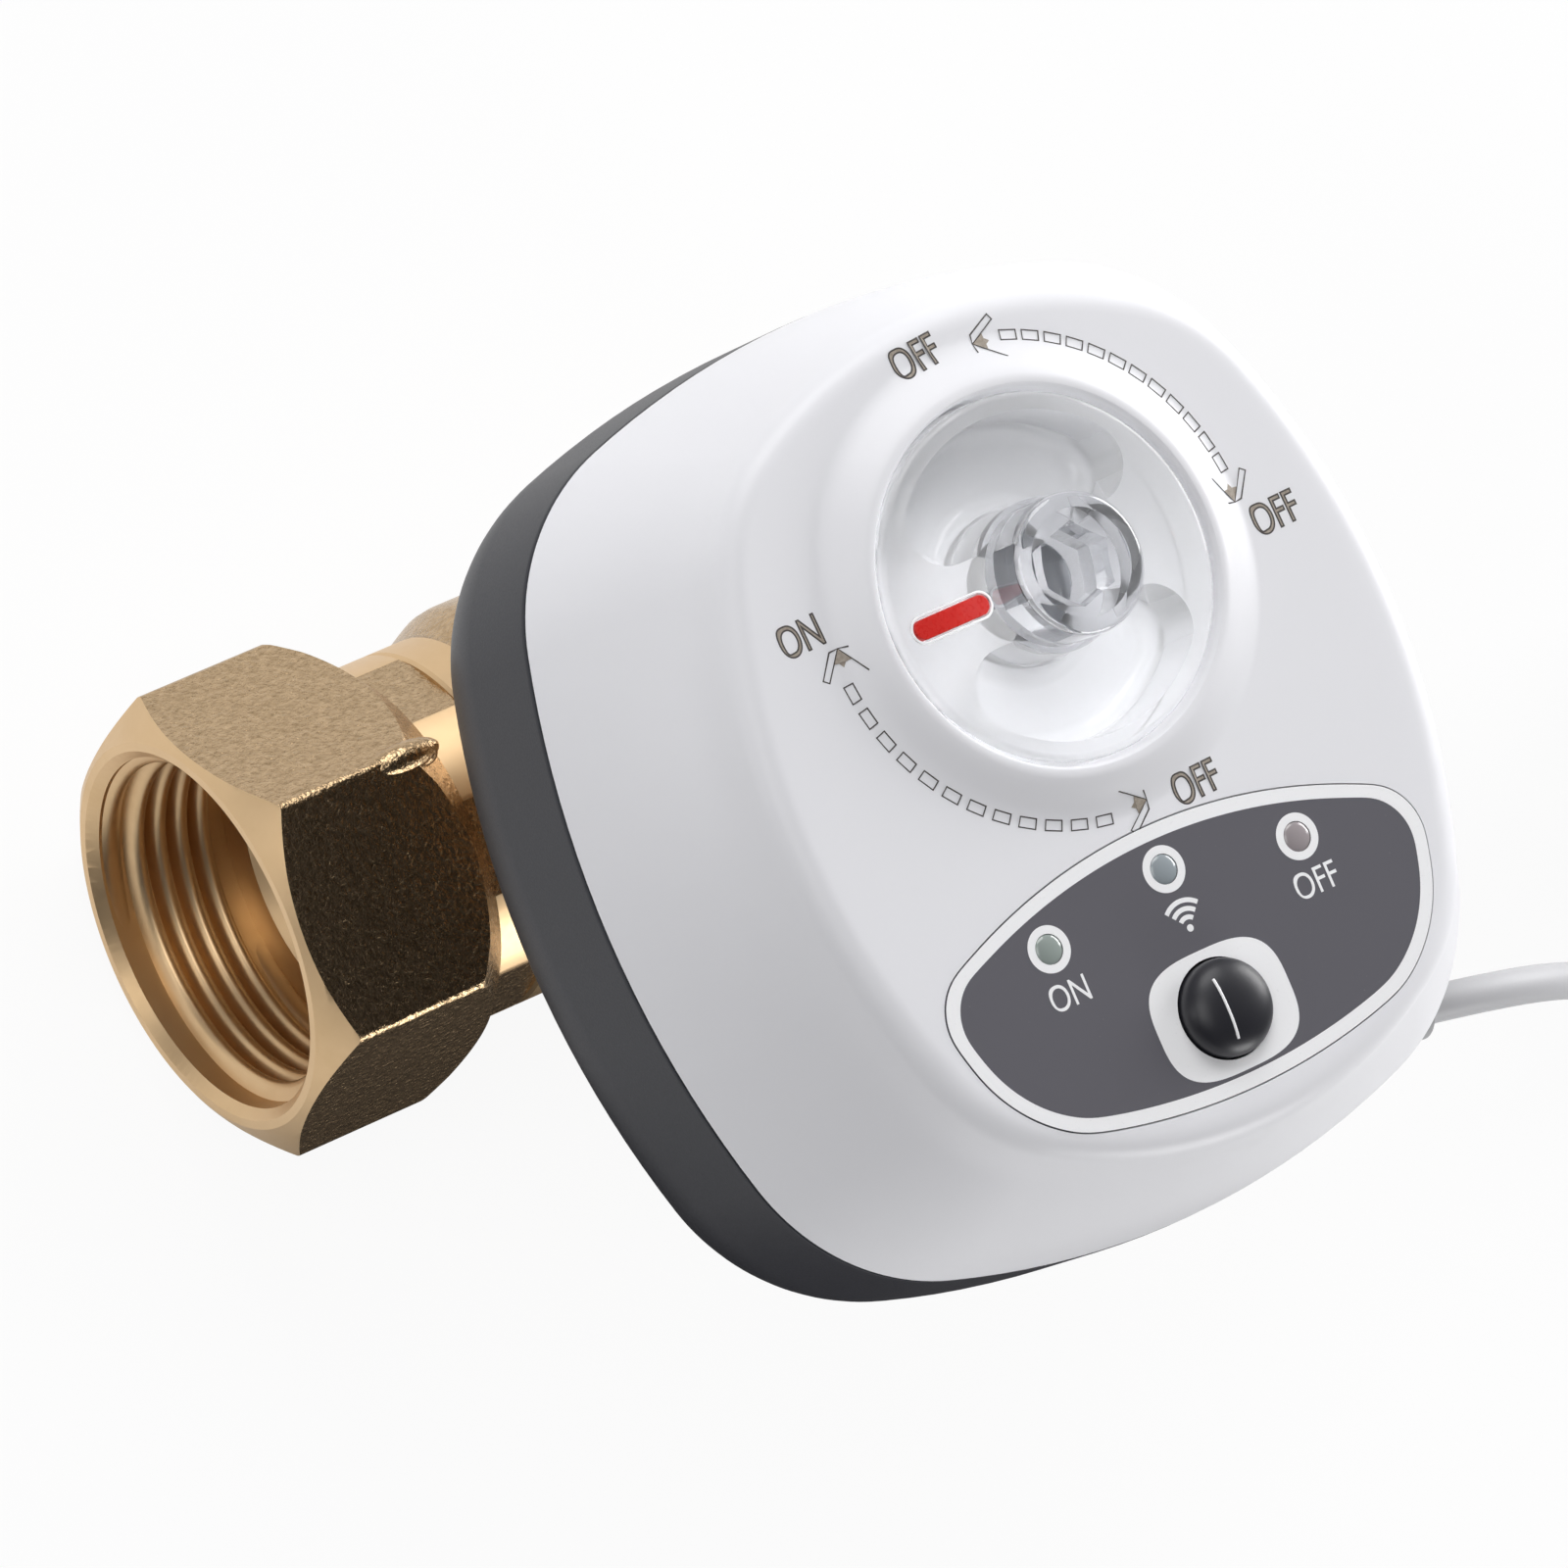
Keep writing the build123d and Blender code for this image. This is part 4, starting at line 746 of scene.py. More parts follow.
for x, y in case_screw_places:
    seat = screw_seat_z - base_low
    bore = turned("well_bore", [(3.1, -2), (3.1, seat), (1.7, seat), (1.7, 30)], 48)
    base = join_shape(base, put(bore, (x, y, base_low)))
gland_way = Vector(cord_route[0]) - Vector(cord_exit)


def aimed(piece, place, way):
    """Turns a piece from the Z axis to a direction, moves it to its place and keeps that in its mesh."""
    take(piece)
    piece.rotation_mode = "QUATERNION"
    piece.rotation_quaternion = Vector(way).to_track_quat("Z", "Y")
    piece.location = [c * mm for c in place]
    bpy.ops.object.transform_apply(location=True, rotation=True, scale=True)
    return piece


gland_bore = turned("gland_bore", [(2.9, -14), (2.9, 6)], 48)
base = join_shape(base, aimed(gland_bore, cord_exit, gland_way))
soften(base, 0.0, 28)
paint(base, dark_plastic)
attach(base, "valve")
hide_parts("base_shell")

# Cover shell: white moulding, satin, in two slopes: a bowed skirt, a soft valley and a short steep
# step to the flat top. A smooth collar rises round the knob's well, and the panel's bed is sunk in.
white_plastic = grained(
    "white_plastic", (0.85, 0.85, 0.875), (0.83, 0.83, 0.855), 0.33, 0.44,
    blotch=30.0, grain=4200.0, bump=0.04, depth=0.00004,
)
step_z = 97.65
step_spread = 1.2
skirt_bulge = 0.55
ceiling_z = top_z - 2.4


def skirt_ring(share):
    """Ring on the bowed skirt, a share of the way from the joint up to the valley."""
    out = skirt_bulge * math.sin(math.pi * share)
    low_ring, high_ring = case_ring(-out, joint_z), top_ring(-step_spread - out, step_z)
    return between(low_ring, high_ring, share)


def step_ring(share):
    """Ring on the steep step, a share of the way from the valley up to the flat top."""
    return between(top_ring(-step_spread, step_z), top_ring(0, top_z), share)


cover_inside = [top_ring(4.6, ceiling_z), top_ring(3.4, ceiling_z - 0.3), top_ring(2.6, ceiling_z - 1.5)]
cover_inside += [top_ring(wall - step_spread, step_z), case_ring(wall, joint_z)]
cover_outside = [case_ring(0.3, joint_z), case_ring(0.08, joint_z + 0.1)]
cover_outside += [skirt_ring(0.025 + 0.865 * step / 14) for step in range(15)]
cover_outside += bent(skirt_ring(0.89), top_ring(-step_spread, step_z), step_ring(0.33), 8)
cover_outside += [step_ring(0.33)]
cover_outside += bent(step_ring(0.5), top_ring(0, top_z), top_ring(2.3, top_z), 8)
cover_outside += [top_ring(2.3, top_z), top_ring(3.4, top_z)]
cover = ring_solid("cover_outer", cover_inside + cover_outside)
well_hole = turned("well_hole", [(18.7, -6), (18.7, 4)])
cover = join_shape(cover, put(well_hole, (0, stem_y, top_z)))
well_cup = turned("well_cup", [
    (21.6, -0.03), (20.9, 0.10), (20.2, 0.34), (19.5, 0.72), (18.8, 1.2), (18.1, 1.66), (17.5, 1.96),
    (17.0, 2.1), (16.66, 2.04), (16.42, 1.78), (16.35, 1.4), (16.35, -7.4), (4.6, -7.4), (4.6, -9.4),
    (18.15, -9.4), (18.15, -2.4), (21.6, -1.2), (21.6, -0.03),
], 192)
cover = join_shape(cover, put(well_cup, (0, stem_y, top_z)), "UNION")

panel_half, panel_high, panel_low = 25.2, -22.7, -46.6
panel_shares = ((0.857, 0.812), (0.985, 0.70), (0.988, 0.52), (0.875, 0.265), (0.655, 0.092))
lamp_places = [(-13.32, -28.8), (0.0, -26.65), (13.32, -28.8)]
lamp_radius = 1.3
button_place = (0.0, -39.45)
button_radius, button_gap = 4.25, 0.2


def arc_through(start, middle, end, steps):
    """Points on the arc through three points, without its last one."""
    ax, ay, bx, by, cx, cy = *start, *middle, *end
    twice = 2 * (ax * (by - cy) + bx * (cy - ay) + cx * (ay - by))
    squares = [x * x + y * y for x, y in (start, middle, end)]
    x = (squares[0] * (by - cy) + squares[1] * (cy - ay) + squares[2] * (ay - by)) / twice
    y = (squares[0] * (cx - bx) + squares[1] * (ax - cx) + squares[2] * (bx - ax)) / twice
    radius = math.hypot(ax - x, ay - y)
    first = math.atan2(ay - y, ax - x)
    swept = (math.atan2(cy - y, cx - x) - first) % (2 * math.pi)
    passed = (math.atan2(by - y, bx - x) - first) % (2 * math.pi)
    if passed > swept:
        swept -= 2 * math.pi
    angles = [first + swept * step / steps for step in range(steps)]
    return [(x + radius * math.cos(a), y + radius * math.sin(a)) for a in angles]


def panel_ring(grow):
    """The panel's outline in six arcs, grown outwards, round the knob's axis as origin."""
    half, low = panel_half + grow, panel_low - grow
    height = panel_high - panel_low + 2 * grow
    right = [(half * sx, low + height * sy) for sx, sy in panel_shares]
    left = [(-x, y) for x, y in right]
    points = arc_through(left[0], (0, low + height), right[0], 56)
    points += arc_through(right[0], right[1], right[2], 20)
    points += arc_through(right[2], right[3], right[4], 28)
    points += arc_through(right[4], (0, low), left[4], 40)
    points += arc_through(left[4], left[3], left[2], 28)
    points += arc_through(left[2], left[1], left[0], 20)
    for turn in range(14):
        after = points[1:] + points[:1]
        points = [((ax + bx) / 2, (ay + by) / 2) for (ax, ay), (bx, by) in zip(points, after)]
        points = points[-1:] + points[:-1] if turn % 2 else points
    return [(x, y + stem_y) for x, y in points]


cover = join_shape(cover, prism("panel_bed", panel_ring(0.10), top_z - 0.45, top_z + 1))


def open_holes(piece, lamp_gap):
    """Cuts the three lamps' holes, with a gap round the lamp, and the button's hole."""
    places = [(*place, lamp_radius + lamp_gap) for place in lamp_places]
    for x, y, radius in places + [(*button_place, button_radius + button_gap)]:
        hole = turned("hole", [(radius, -5), (radius, 1)], 64)
        piece = join_shape(piece, put(hole, (x, y + stem_y, top_z)))
    return piece


cover = open_holes(cover, 0.05)
soften(cover, 0.0, 28)
paint(cover, white_plastic)
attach(cover, "valve")
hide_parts("cover_shell")

# Panel film: thick dark film with a gloss face, pressed into its bed, printed in white from behind
# with a rim, three lamp rings, a field round the button, ON and OFF and a radio mark.
panel_face = top_z + 0.05
print_height = 0.02
panel_dark = grained(
    "panel_dark", (0.140, 0.136, 0.153), (0.126, 0.123, 0.139), 0.20, 0.30,
    blotch=40.0, grain=3000.0, bump=0.03, depth=0.00004,
)
panel_white = grained(
    "panel_white", (0.96, 0.96, 0.965), (0.94, 0.94, 0.95), 0.24, 0.34,
    blotch=50.0, grain=3000.0, bump=0.03, depth=0.00004,
)


def film_piece(piece, material, cut_holes=True):
    """Opens the panel's holes in a film or a print, and gives it its material and places."""
    if cut_holes:
        piece = open_holes(piece, 0.03)
    soften(piece, 0.0, 30)
    paint(piece, material)
    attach(piece, "valve")
    return piece


film = film_piece(prism("panel_film", panel_ring(0), top_z - 0.45, panel_face), panel_dark)
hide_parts("panel_label")
rim = prism("panel_rim", panel_ring(-0.03), panel_face - 0.1, panel_face + print_height)
rim = join_shape(rim, prism("rim_inside", panel_ring(-1.28), top_z - 1, top_z + 1))
film_piece(rim, panel_white, False)


def rounded_field(half_x, low, high, bow):
    """Rounded rectangle with slightly bowed sides, about the knob's axis."""
    middle = (low + high) / 2
    half_y = (high - low) / 2
    points = []
    for step in range(96):
        angle = 2 * math.pi * step / 96
        c, s = math.cos(angle), math.sin(angle)
        x = abs(c) ** (2 / bow) * math.copysign(half_x, c)
        y = abs(s) ** (2 / bow) * math.copysign(half_y, s)
        points.append((x, y + middle + stem_y))
    return points


field_outline = rounded_field(6.95, -45.0, -34.15, 3.1)
field = prism("button_field", field_outline, panel_face - 0.1, panel_face + print_height)
film_piece(field, panel_white)
for number, (x, y) in enumerate(lamp_places):
    ring = turned("lamp_ring_%d" % number, [
        (lamp_radius + 0.03, -0.1), (2.06, -0.1), (2.06, print_height), (lamp_radius + 0.03, print_height),
        (lamp_radius + 0.03, -0.1),
    ], 64)
    film_piece(put(ring, (x, y + stem_y, panel_face)), panel_white, False)


def word(name, text, height, place, tilt, squeeze, line=0.0):
    """Letters flat on the top: filled and thin, or only their outlines where a line's radius is given."""
    start_clean()
    bpy.ops.object.text_add()
    piece = bpy.context.object
    piece.data.body = text
    piece.data.align_x = "CENTER"
    piece.data.align_y = "CENTER"
    bpy.context.view_layer.update()
    piece.data.size = height * mm / piece.dimensions.y
    bpy.ops.object.convert(target="CURVE")
    piece = bpy.context.object
    for spline in piece.data.splines:
        for point in spline.bezier_points:
            point.handle_left.x *= squeeze
            point.co.x *= squeeze
            point.handle_right.x *= squeeze
    if line:
        piece.data.fill_mode = "NONE"
        piece.data.bevel_depth = line * mm
        piece.data.bevel_resolution = 1
    else:
        piece.data.extrude = print_height * mm
    bpy.ops.object.convert(target="MESH")
    piece = bpy.context.object
    piece.name = name
    put(piece, (place[0], place[1] + stem_y, place[2]), (0, 0, tilt))
    bpy.ops.object.mode_set(mode="EDIT")
    close_mesh(0.004)
    return piece


film_piece(word("word_on", "ON", 2.3, (-13.2, -33.05, panel_face), 0, 0.80), panel_white, False)
film_piece(word("word_off", "OFF", 2.3, (13.3, -33.0, panel_face), 0, 0.80), panel_white, False)
mark_middle = (0.1, -32.1)
dot = turned("radio_dot", [(0.32, -0.05), (0.32, print_height)], 32)
film_piece(put(dot, (mark_middle[0], mark_middle[1] + stem_y, panel_face)), panel_white, False)
half_line, arc_steps, arc_spread = 0.21, 20, math.radians(43)
for number, radius in enumerate((0.95, 1.68, 2.42)):
    angles = [math.pi / 2 + arc_spread * (2 * k / arc_steps - 1) for k in range(arc_steps + 1)]
    corners = [(radius + half_line, a) for a in angles]
    corners += [(radius - half_line, a) for a in reversed(angles)]
    points = [
        (mark_middle[0] + r * math.cos(a), mark_middle[1] + stem_y + r * math.sin(a)) for r, a in corners
    ]
    arc = prism("radio_arc_%d" % number, points, panel_face - 0.05, panel_face + print_height)
    film_piece(arc, panel_white, False)

# Dial marks: burnt into the white top with a fine laser, so they are thin brown outlines. Dashes and
# arrowheads follow the collar round the knob, with a word at each end of the two quarter turns.
burnt = grained(
    "burnt_mark", (0.075, 0.065, 0.058), (0.05, 0.043, 0.04), 0.5, 0.7, blotch=900.0, grain=6000.0,
    bump=0.1, depth=0.00004,
)
burnt_pale = grained(
    "burnt_pale", (0.50, 0.44, 0.37), (0.20, 0.165, 0.13), 0.5, 0.7, blotch=3500.0, grain=6000.0,
    bump=0.1, depth=0.00004,
)
mark_radius, mark_half_width, mark_half_length = 21.14, 0.44, 0.78
line_radius = 0.08
arm_length, arm_width, arm_angle = 3.1, 0.62, math.radians(34)
collar_slope = [(18.8, 1.2), (19.5, 0.72), (20.2, 0.34), (20.9, 0.10), (21.6, 0.0)]


def collar_rise(radius):
    """Height of the collar's outer slope over the flat top."""
    for (near, high), (far, low) in zip(collar_slope, collar_slope[1:]):
        if near <= radius <= far:
            return high + (low - high) * (radius - near) / (far - near)
    return 0.0


def onto_top(piece):
    """Presses thin marks to a third of their height and lays them on the top and the collar's slope."""
    for vertex in piece.data.vertices:
        x, y, z = vertex.co / mm
        rise = collar_rise(math.hypot(x, y - stem_y))
        vertex.co.z = (top_z + rise + z * 0.3 + 0.01) * mm
    return piece


def drawn(name, lines, radius, rounds, closed):
    """Thin round wires through rows of points, in mm, as one mesh."""
    data = bpy.data.curves.new(name + "_line", "CURVE")
    data.dimensions = "3D"
    data.bevel_depth = radius * mm
    data.bevel_resolution = rounds
    data.use_fill_caps = not closed
    for points in lines:
        spline = data.splines.new("POLY")
        spline.points.add(len(points) - 1)
        spline.use_cyclic_u = closed
        for point, (x, y, z) in zip(spline.points, points):
            point.co = (x * mm, y * mm, z * mm, 1)
    piece = bpy.data.objects.new(name, data)
    bpy.context.scene.collection.objects.link(piece)
    take(piece)
    bpy.ops.object.convert(target="MESH")
    return bpy.context.object


def dash(angle):
    """Corners of one dash at an angle round the knob."""
    corners = []
    for side, way in ((-1, -1), (1, -1), (1, 1), (-1, 1)):
        radius = mark_radius + side * mark_half_width
        turned_by = angle + way * mark_half_length / mark_radius
        corners.append((radius * math.cos(turned_by), radius * math.sin(turned_by)))
    return corners


def arrow_arms(angle, way):
    """Corners of the two arms of an arrowhead whose tip is at an angle, pointing one way round."""
    tip = Vector((20.7 * math.cos(angle), 20.7 * math.sin(angle)))
    back = Vector((math.sin(angle), -math.cos(angle))) * way
    lines = [Matrix.Rotation(side * arm_angle, 2) @ back for side in (-1, 1)]
    arrow_tips.append((tip, lines[0] * 1.45, lines[1] * 1.45))
    arms = []
    for side, along in zip((-1, 1), lines):
        across = Vector((-along.y, along.x)) * side
        arms.append([tip, tip + along * arm_length, tip + along * arm_length + across * arm_width,
                     tip + along * 0.55 + across * arm_width])
    return arms


outlines = []
arrow_tips = []
for first, last in ((71.7, 8.0), (-173.1, -99.4)):
    for step in range(12):
        outlines.append(dash(math.radians(first + (last - first) * step / 11)))
for angle, way in ((81.6, 1), (-1.8, -1), (176.0, -1), (-87.0, 1)):
    outlines += arrow_arms(math.radians(angle), way)
mark_lines = [[(x, y + stem_y, 0) for x, y in outline] for outline in outlines]
marks = onto_top(drawn("dial_marks", mark_lines, line_radius, 1, True))
paint(marks, burnt)
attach(marks, "valve")
for number, (tip, first_arm, second_arm) in enumerate(arrow_tips):
    scorch = prism("arrow_scorch_%d" % number, [
        tip, tip + first_arm, tip + first_arm * 0.7 + second_arm * 0.35,
        tip + (first_arm + second_arm) * 0.7,
        tip + first_arm * 0.35 + second_arm * 0.7, tip + second_arm,
    ], 0, print_height)
    onto_top(put(scorch, (0, stem_y, 0)))
    scorch.data.materials.append(burnt_pale)
    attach(scorch, "valve")
dial_words = [
    ("OFF", (-2.6, 21.2), 5), ("OFF", (24.0, -3.0), 2), ("ON", (-23.4, 3.4), 2), ("OFF", (6.2, -21.2), 2),
]
for number, (text, place, tilt) in enumerate(dial_words):
    for finish, line, material in (("line", line_radius, burnt), ("fill", 0.0, burnt_pale)):
        letters = word("dial_word_%d_%s" % (number, finish), text, 2.75, (*place, 0), tilt, 0.70, line)
        onto_top(letters)
        paint(letters, material)
        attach(letters, "valve")

# Lamps: three clear lenses pressed into the panel from behind, tinted green, blue and red by the
# emitters under them.
lens_tints = [("on", (0.40, 0.46, 0.43)), ("radio", (0.42, 0.47, 0.50)), ("off", (0.46, 0.41, 0.42))]
for (name, tint), (x, y) in zip(lens_tints, lamp_places):
    lens = turned("lens_" + name, [
        (1.9, -3.2), (1.9, -2.42), (lamp_radius, -2.42), (lamp_radius, -0.02), (1.22, 0.05),
        (1.0, 0.13), (0.7, 0.20), (0.35, 0.24), (on_axis, 0.25),
    ], 64)
    put(lens, (x, y + stem_y, top_z))
    soften(lens, 0.0, 35)
    clear, made, joined, shader = new_material("lens_tint_" + name)
    shader.inputs["Base Color"].default_value = (*tint, 1)
    shader.inputs["Roughness"].default_value = 0.16
    shader.inputs["Transmission Weight"].default_value = 0.25
    shader.inputs["Coat Weight"].default_value = 0.6
    frost = add_node(made, "ShaderNodeTexNoise", {"Scale": 2600.0})
    relief = add_node(made, "ShaderNodeBump", {"Strength": 0.08, "Distance": 0.00005})
    place = made.new("ShaderNodeTexCoord")
    wire(joined, [
        (place, "Object", frost, "Vector"), (frost, "Fac", relief, "Height"),
        (relief, "Normal", shader, "Normal"),
    ])
    lens.data.materials.append(clear)
    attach(lens, "valve")
    if name == "on":
        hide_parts("status_lenses")

# Push button: domed cap of black silicone rubber, satin, on the plunger of a small switch, with one
# white line printed on its dome.
black_rubber_cap = grained(
    "black_rubber_cap", (0.020, 0.020, 0.025), (0.015, 0.015, 0.020), 0.34, 0.44,
    blotch=200.0, grain=4000.0, bump=0.06, depth=0.00004,
)
dome_low, dome_rise, dome_power = 102.75, 2.2, 2.4


def dome_height(radius):
    """Height of the dome at a distance from its middle: round shoulders and a flat top."""
    return dome_low + dome_rise * (1 - min(radius / button_radius, 1) ** dome_power) ** (1 / dome_power)


dome = [(radius, dome_height(radius)) for radius in [
    button_radius * math.cos(math.radians(a)) for a in (5, 11, 17, 24, 31, 38, 46, 54, 62, 70, 78, 85)
]]
button = turned("button_cap", [
    (1.5, 97.45), (1.5, 99.0), (4.75, 99.0), (4.75, 99.8), (button_radius, 99.8),
    (button_radius, dome_low), *dome, (on_axis, dome_low + dome_rise),
], 96)
put(button, (button_place[0], button_place[1] + stem_y, 0))
soften(button, 0.0, 35)
button.data.materials.append(black_rubber_cap)
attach(button, "button")
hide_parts("push_button")
stripe_points = [(-1.1, 2.7 - 5.4 * step / 24) for step in range(25)]
stripe_line = [
    (x + button_place[0], y + button_place[1] + stem_y, dome_height(math.hypot(x, y)) - 0.09)
    for x, y in stripe_points
]
stripe = drawn("button_stripe", [stripe_line], 0.16, 4, False)
paint(stripe, panel_white)
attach(stripe, "button")

# Knob: clear moulded polycarbonate with two deep finger pockets beside a bar, and a tall boss with a
# countersunk hexagonal socket. It is pressed on the flatted end of the output shaft.
knob_low, knob_top = 95.45, 104.2
boss_top, boss_radius = 109.95, 6.2
pocket_floor = 97.25
pocket_radius, bar_half, pocket_corner, boss_clear = 14.3, 3.9, 3.6, 6.7


def clear_finish(name, tint, bending, smooth, rough, through):
    """Clear plastic: it bends light, lets the lamps reach what is under it, and is polished in patches."""
    material, made, joined, shader = new_material(name)
    shader.inputs["Base Color"].default_value = (*tint, 1)
    shader.inputs["IOR"].default_value = bending
    shader.inputs["Transmission Weight"].default_value = through
    haze = add_node(made, "ShaderNodeTexNoise", {"Scale": 260.0, "Detail": 3})
    polish = add_node(made, "ShaderNodeMapRange", {
        "From Min": 0.35, "From Max": 0.75, "To Min": smooth, "To Max": rough,
    })
    place = made.new("ShaderNodeTexCoord")
    wire(joined, [
        (place, "Object", haze, "Vector"), (haze, "Fac", polish, "Value"),
        (polish, "Result", shader, "Roughness"),
    ])
    light_through = made.new("ShaderNodeBsdfTransparent")
    path = made.new("ShaderNodeLightPath")
    share = add_node(made, "ShaderNodeMath", {1: 0.98}, operation="MULTIPLY")
    mix = made.new("ShaderNodeMixShader")
    wire(joined, [
        (path, "Is Shadow Ray", share, 0), (share, 0, mix, "Fac"), (shader, 0, mix, 1),
        (light_through, 0, mix, 2), (mix, 0, made["Material Output"], "Surface"),
    ])
    return material


clear_polished = clear_finish("clear_polished", (0.70, 0.71, 0.73), 1.57, 0.012, 0.05, 1.0)
clear_moulded = clear_finish("clear_moulded", (0.965, 0.97, 0.98), 1.42, 0.05, 0.12, 0.72)


def hexagon(flats, turn):
    """Corners of a hexagon, its first corner at turn degrees."""
    corner = flats / math.sqrt(3)
    angles = [math.radians(turn + 60 * k) for k in range(6)]
    return [(corner * math.cos(a), corner * math.sin(a)) for a in angles]


def pocket_outline():
    """Half-moon round the boss: a bar's side, two round corners, the rim's inside and the boss."""
    side_y = bar_half + pocket_corner
    side_x = math.sqrt((pocket_radius - pocket_corner) ** 2 - side_y**2)
    corner_end = math.atan2(side_y, side_x)
    boss_start = math.asin(bar_half / boss_clear)
    points = [(boss_clear * math.cos(boss_start), bar_half)]
    for step in range(13):
        a = -math.pi / 2 + (corner_end + math.pi / 2) * step / 12
        points.append((side_x + pocket_corner * math.cos(a), side_y + pocket_corner * math.sin(a)))
    for step in range(1, 40):
        a = corner_end + (math.pi - 2 * corner_end) * step / 40
        points.append((pocket_radius * math.cos(a), pocket_radius * math.sin(a)))
    for step in range(13):
        a = math.pi - corner_end + (corner_end + math.pi / 2) * step / 12
        points.append((-side_x + pocket_corner * math.cos(a), side_y + pocket_corner * math.sin(a)))
    for step in range(24):
        a = math.pi - boss_start - (math.pi - 2 * boss_start) * step / 24
        points.append((boss_clear * math.cos(a), boss_clear * math.sin(a)))
    return points


knob = turned("knob", [
    (15.7, knob_low), (15.92, knob_low + 0.1), (16.0, knob_low + 0.3),
    (16.0, knob_top - 0.7), (15.94, knob_top - 0.42), (15.78, knob_top - 0.2), (15.55, knob_top - 0.06),
    (15.3, knob_top),
], 192)
for turn_angle in (0, 180):
    pocket = prism("pocket", pocket_outline(), pocket_floor, knob_top + 3)
    bpy.ops.object.mode_set(mode="EDIT")
    bpy.ops.mesh.select_all(action="DESELECT")
    mesh = bmesh.from_edit_mesh(pocket.data)
    for edge in mesh.edges:
        if all(vertex.co.z < (pocket_floor + 0.1) * mm for vertex in edge.verts):
            edge.select = True
    bmesh.update_edit_mesh(pocket.data)
    bpy.ops.mesh.bevel(offset=2.0 * mm, segments=6)
    bpy.ops.object.mode_set(mode="OBJECT")
    knob = join_shape(knob, put(pocket, (0, 0, 0), (0, 0, turn_angle)))
boss = turned("boss", [
    (boss_radius, pocket_floor - 0.5), (boss_radius, boss_top - 0.6),
    (boss_radius - 0.1, boss_top - 0.3), (boss_radius - 0.3, boss_top - 0.1), (boss_radius - 0.6, boss_top),
], 128)
knob = join_shape(knob, boss, "UNION")
knob = join_shape(knob, prism("key_hole", hexagon(6.45, 75), boss_top - 6.0, boss_top + 1))
countersink = turned("countersink", [
    (3.15, boss_top - 1.0), (4.75, boss_top - 0.1), (4.85, boss_top + 1),
], 96)
knob = join_shape(knob, countersink)
shaft_hole = turned("shaft_hole", [(3.46, 94), (3.46, 100.1)], 64)
knob = join_shape(knob, shaft_hole)
pointer_start, pointer_end, pointer_width = -14.2, -6.5, 1.8


def stadium(grow):
    """Outline of the pointer's slot, round at both ends."""
    radius = pointer_width / 2 + grow
    points = []
    for middle, start in ((pointer_end - pointer_width / 2, -90), (pointer_start + pointer_width / 2, 90)):
        for step in range(17):
            a = math.radians(start + 180 * step / 16)
            points.append((middle + radius * math.cos(a), radius * math.sin(a)))
    return points


knob = join_shape(knob, prism("pointer_slot", stadium(0.14), knob_top - 0.9, knob_top + 1))
put(knob, (0, stem_y, 0))
soften(knob, 0.14, 32, 2)
paint(knob, clear_moulded)
knob.data.materials.append(clear_polished)
for face in knob.data.polygons:
    x, y, z = (c / mm for c in face.center)
    if math.hypot(x, y - stem_y) < boss_clear - 0.05 and z > pocket_floor:
        face.material_index = 1
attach(knob, "spindle")
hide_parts("clear_knob")

# Pointer: red moulding, glossy, glued in the slot of the knob's bar. The thin pale line all round it is a
# painted highlight on the slot's edge.
red_plastic = grained(
    "red_plastic", (0.66, 0.024, 0.018), (0.58, 0.017, 0.013), 0.22, 0.34,
    blotch=260.0, grain=2500.0, bump=0.05, depth=0.00005,
)
pointer = put(prism("pointer", stadium(-0.01), knob_top - 0.88, knob_top + 0.15), (0, stem_y, 0))
soften(pointer, 0.12, 30, 2)
pointer.data.materials.append(red_plastic)
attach(pointer, "spindle")
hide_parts("knob_pointer")
# Painted highlight: a thin ring in the print's white round the slot stands for the light on the slot's
# edge.
painted_edge_highlight = prism("pointer_glue_line", stadium(0.36), knob_top - 0.06, knob_top + 0.07)
painted_edge_highlight = join_shape(painted_edge_highlight, prism("painted_highlight_inside", stadium(0.15), knob_top - 1, knob_top + 1))
put(painted_edge_highlight, (0, stem_y, 0))
soften(painted_edge_highlight, 0.03, 30, 1)
paint(painted_edge_highlight, panel_white)
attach(painted_edge_highlight, "spindle")

# Plug: soft black moulding over the cord's end, its sleeve cut with bending grooves, its grip
# fluted, and a nickel-plated barrel pressed into it.
black_plastic = grained(
    "black_plastic", (0.022, 0.022, 0.024), (0.016, 0.016, 0.018), 0.35, 0.5,
    blotch=90.0, grain=3500.0, bump=0.15, depth=0.00006,
)
nickel = grained(
    "nickel_barrel", (0.70, 0.69, 0.66), (0.62, 0.61, 0.58), 0.12, 0.22, metallic=1.0,
    blotch=300.0, grain=2500.0, bump=0.05, depth=0.00004,
)
plug_way = (-1, 0, 0)
sleeve = [(1.9, 0.0), (2.1, 0.2)]
for groove in range(4):
    start = 0.9 + 1.2 * groove
    radius = 2.3 + 0.33 * groove
    sleeve += [(radius - 0.15, start), (radius - 0.45, start + 0.15)]
    sleeve += [(radius - 0.42, start + 0.55), (radius, start + 0.7)]
plug = turned("plug_grip", sleeve + [
    (3.9, 5.9), (4.25, 6.1), (4.5, 6.5), (4.58, 7.0), (4.58, 17.0), (4.5, 17.5), (4.2, 17.9), (3.9, 18.0),
], 96)
for flute in range(12):
    angle = math.radians(30 * flute + 15)
    cutter = turned("flute", [
        (on_axis, 8.4), (0.3, 8.6), (0.45, 9.0), (0.45, 15.2), (0.3, 15.6), (on_axis, 15.8),
    ], 16)
    plug = join_shape(plug, put(cutter, (4.75 * math.cos(angle), 4.75 * math.sin(angle), 0)))
aimed(plug, lead_to_plug[-1], plug_way)
soften(plug, 0.0, 30)
paint(plug, black_plastic)
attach(plug, "valve")
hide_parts("cord_plug")
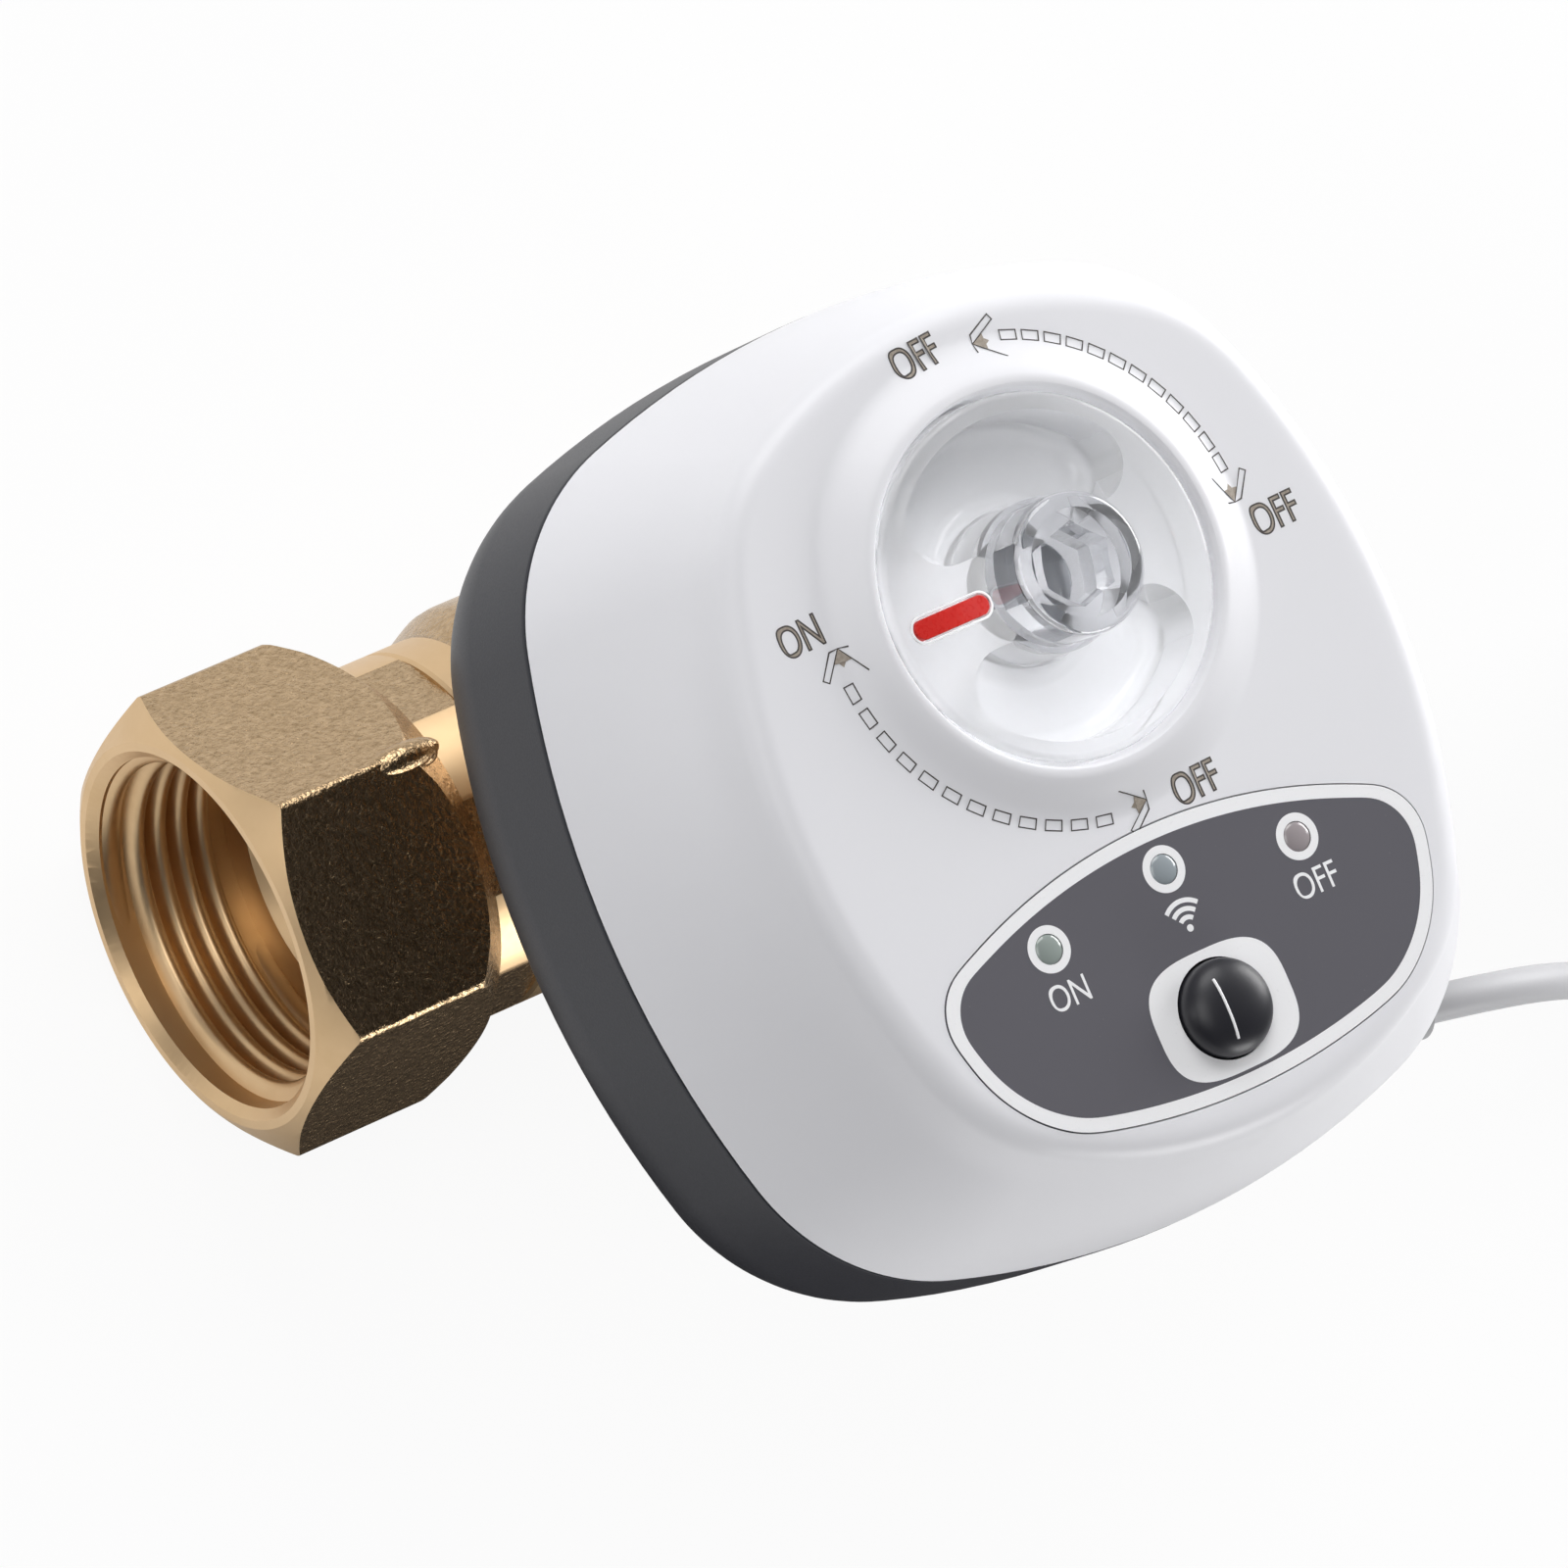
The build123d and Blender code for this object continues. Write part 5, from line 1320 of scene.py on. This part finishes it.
barrel_end = turned("plug_tip", [
    (2.75, 17.9), (2.75, 26.6), (2.55, 26.95), (2.3, 27.0), (1.15, 27.0), (1.05, 26.8), (1.05, 20.4),
    (1.0, 17.9), (2.75, 17.9),
], 64)
aimed(barrel_end, lead_to_plug[-1], plug_way)
soften(barrel_end, 0.0, 30)
barrel_end.data.materials.append(nickel)
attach(barrel_end, "valve")
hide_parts("plug_barrel")

# Inner works and small parts: they keep the exact shapes of their nodes and are dressed in what
# they are made of, from the plated ball at the bottom to the board under the panel.


def dress(material, *names):
    """Gives nodes that keep their CAD shape a material in place of their plain one."""
    for name in names:
        paint(nodes[name], material)


# Each row: a material's name, its light and dark colour, roughness from and to, metal or not, the
# scales of its blotches and grain, the strength of its grain, and the nodes that have it.
for *finish, blotch, grain, bump, names in (
    ("chromed_brass", (0.74, 0.75, 0.77), (0.68, 0.69, 0.71), 0.05, 0.10, 1.0, 80, 1800, 0.006, ["ball"]),
    ("white_seats", (0.86, 0.86, 0.83), (0.80, 0.80, 0.77), 0.35, 0.5, 0.0, 120, 2500, 0.06, [
        "seat_rings", "thrust_washer"]),
    ("black_rubber", (0.022, 0.022, 0.022), (0.016, 0.016, 0.016), 0.5, 0.7, 0.0, 150, 3000, 0.1, [
        "cap_gasket", "stem_seals", "case_seal", "knob_seal"]),
    ("grey_rubber", (0.48, 0.48, 0.49), (0.43, 0.43, 0.44), 0.5, 0.65, 0.0, 150, 3000, 0.1, [
        "cable_gland"]),
    ("zinc_screws", (0.62, 0.63, 0.66), (0.52, 0.53, 0.55), 0.25, 0.4, 1.0, 400, 3000, 0.08, [
        "mounting_screws", "case_screws", "frame_screws", "motor_screws", "board_screws"]),
    ("steel_plate", (0.56, 0.57, 0.59), (0.50, 0.51, 0.53), 0.28, 0.42, 1.0, 90, 2600, 0.08, [
        "lower_plate", "upper_plate", "gear_pins", "output_shaft", "clutch_washers", "retaining_ring"]),
    ("gear_plastic", (0.80, 0.79, 0.73), (0.75, 0.74, 0.68), 0.35, 0.48, 0.0, 80, 2800, 0.05, [
        "output_gear", "second_gear", "first_gear"]),
    ("motor_can", (0.60, 0.61, 0.63), (0.54, 0.55, 0.57), 0.18, 0.3, 1.0, 100, 3200, 0.05, [
        "drive_motor", "position_magnet", "radio_module", "capacitor"]),
    ("green_board", (0.022, 0.13, 0.060), (0.016, 0.10, 0.045), 0.25, 0.4, 0.0, 500, 3000, 0.08, [
        "circuit_board"]),
    ("white_connector", (0.83, 0.82, 0.76), (0.79, 0.78, 0.72), 0.35, 0.48, 0.0, 150, 2800, 0.05, [
        "cable_connector", "status_leds"]),
):
    dress(grained(*finish, blotch, grain, bump), *names)
dress(turned_brass, "valve_stem", "plate_pillars", "shaft_bushes", "motor_pinion")
dress(black_plastic, "position_collar", "position_sensors", "board_chips", "tact_switch")
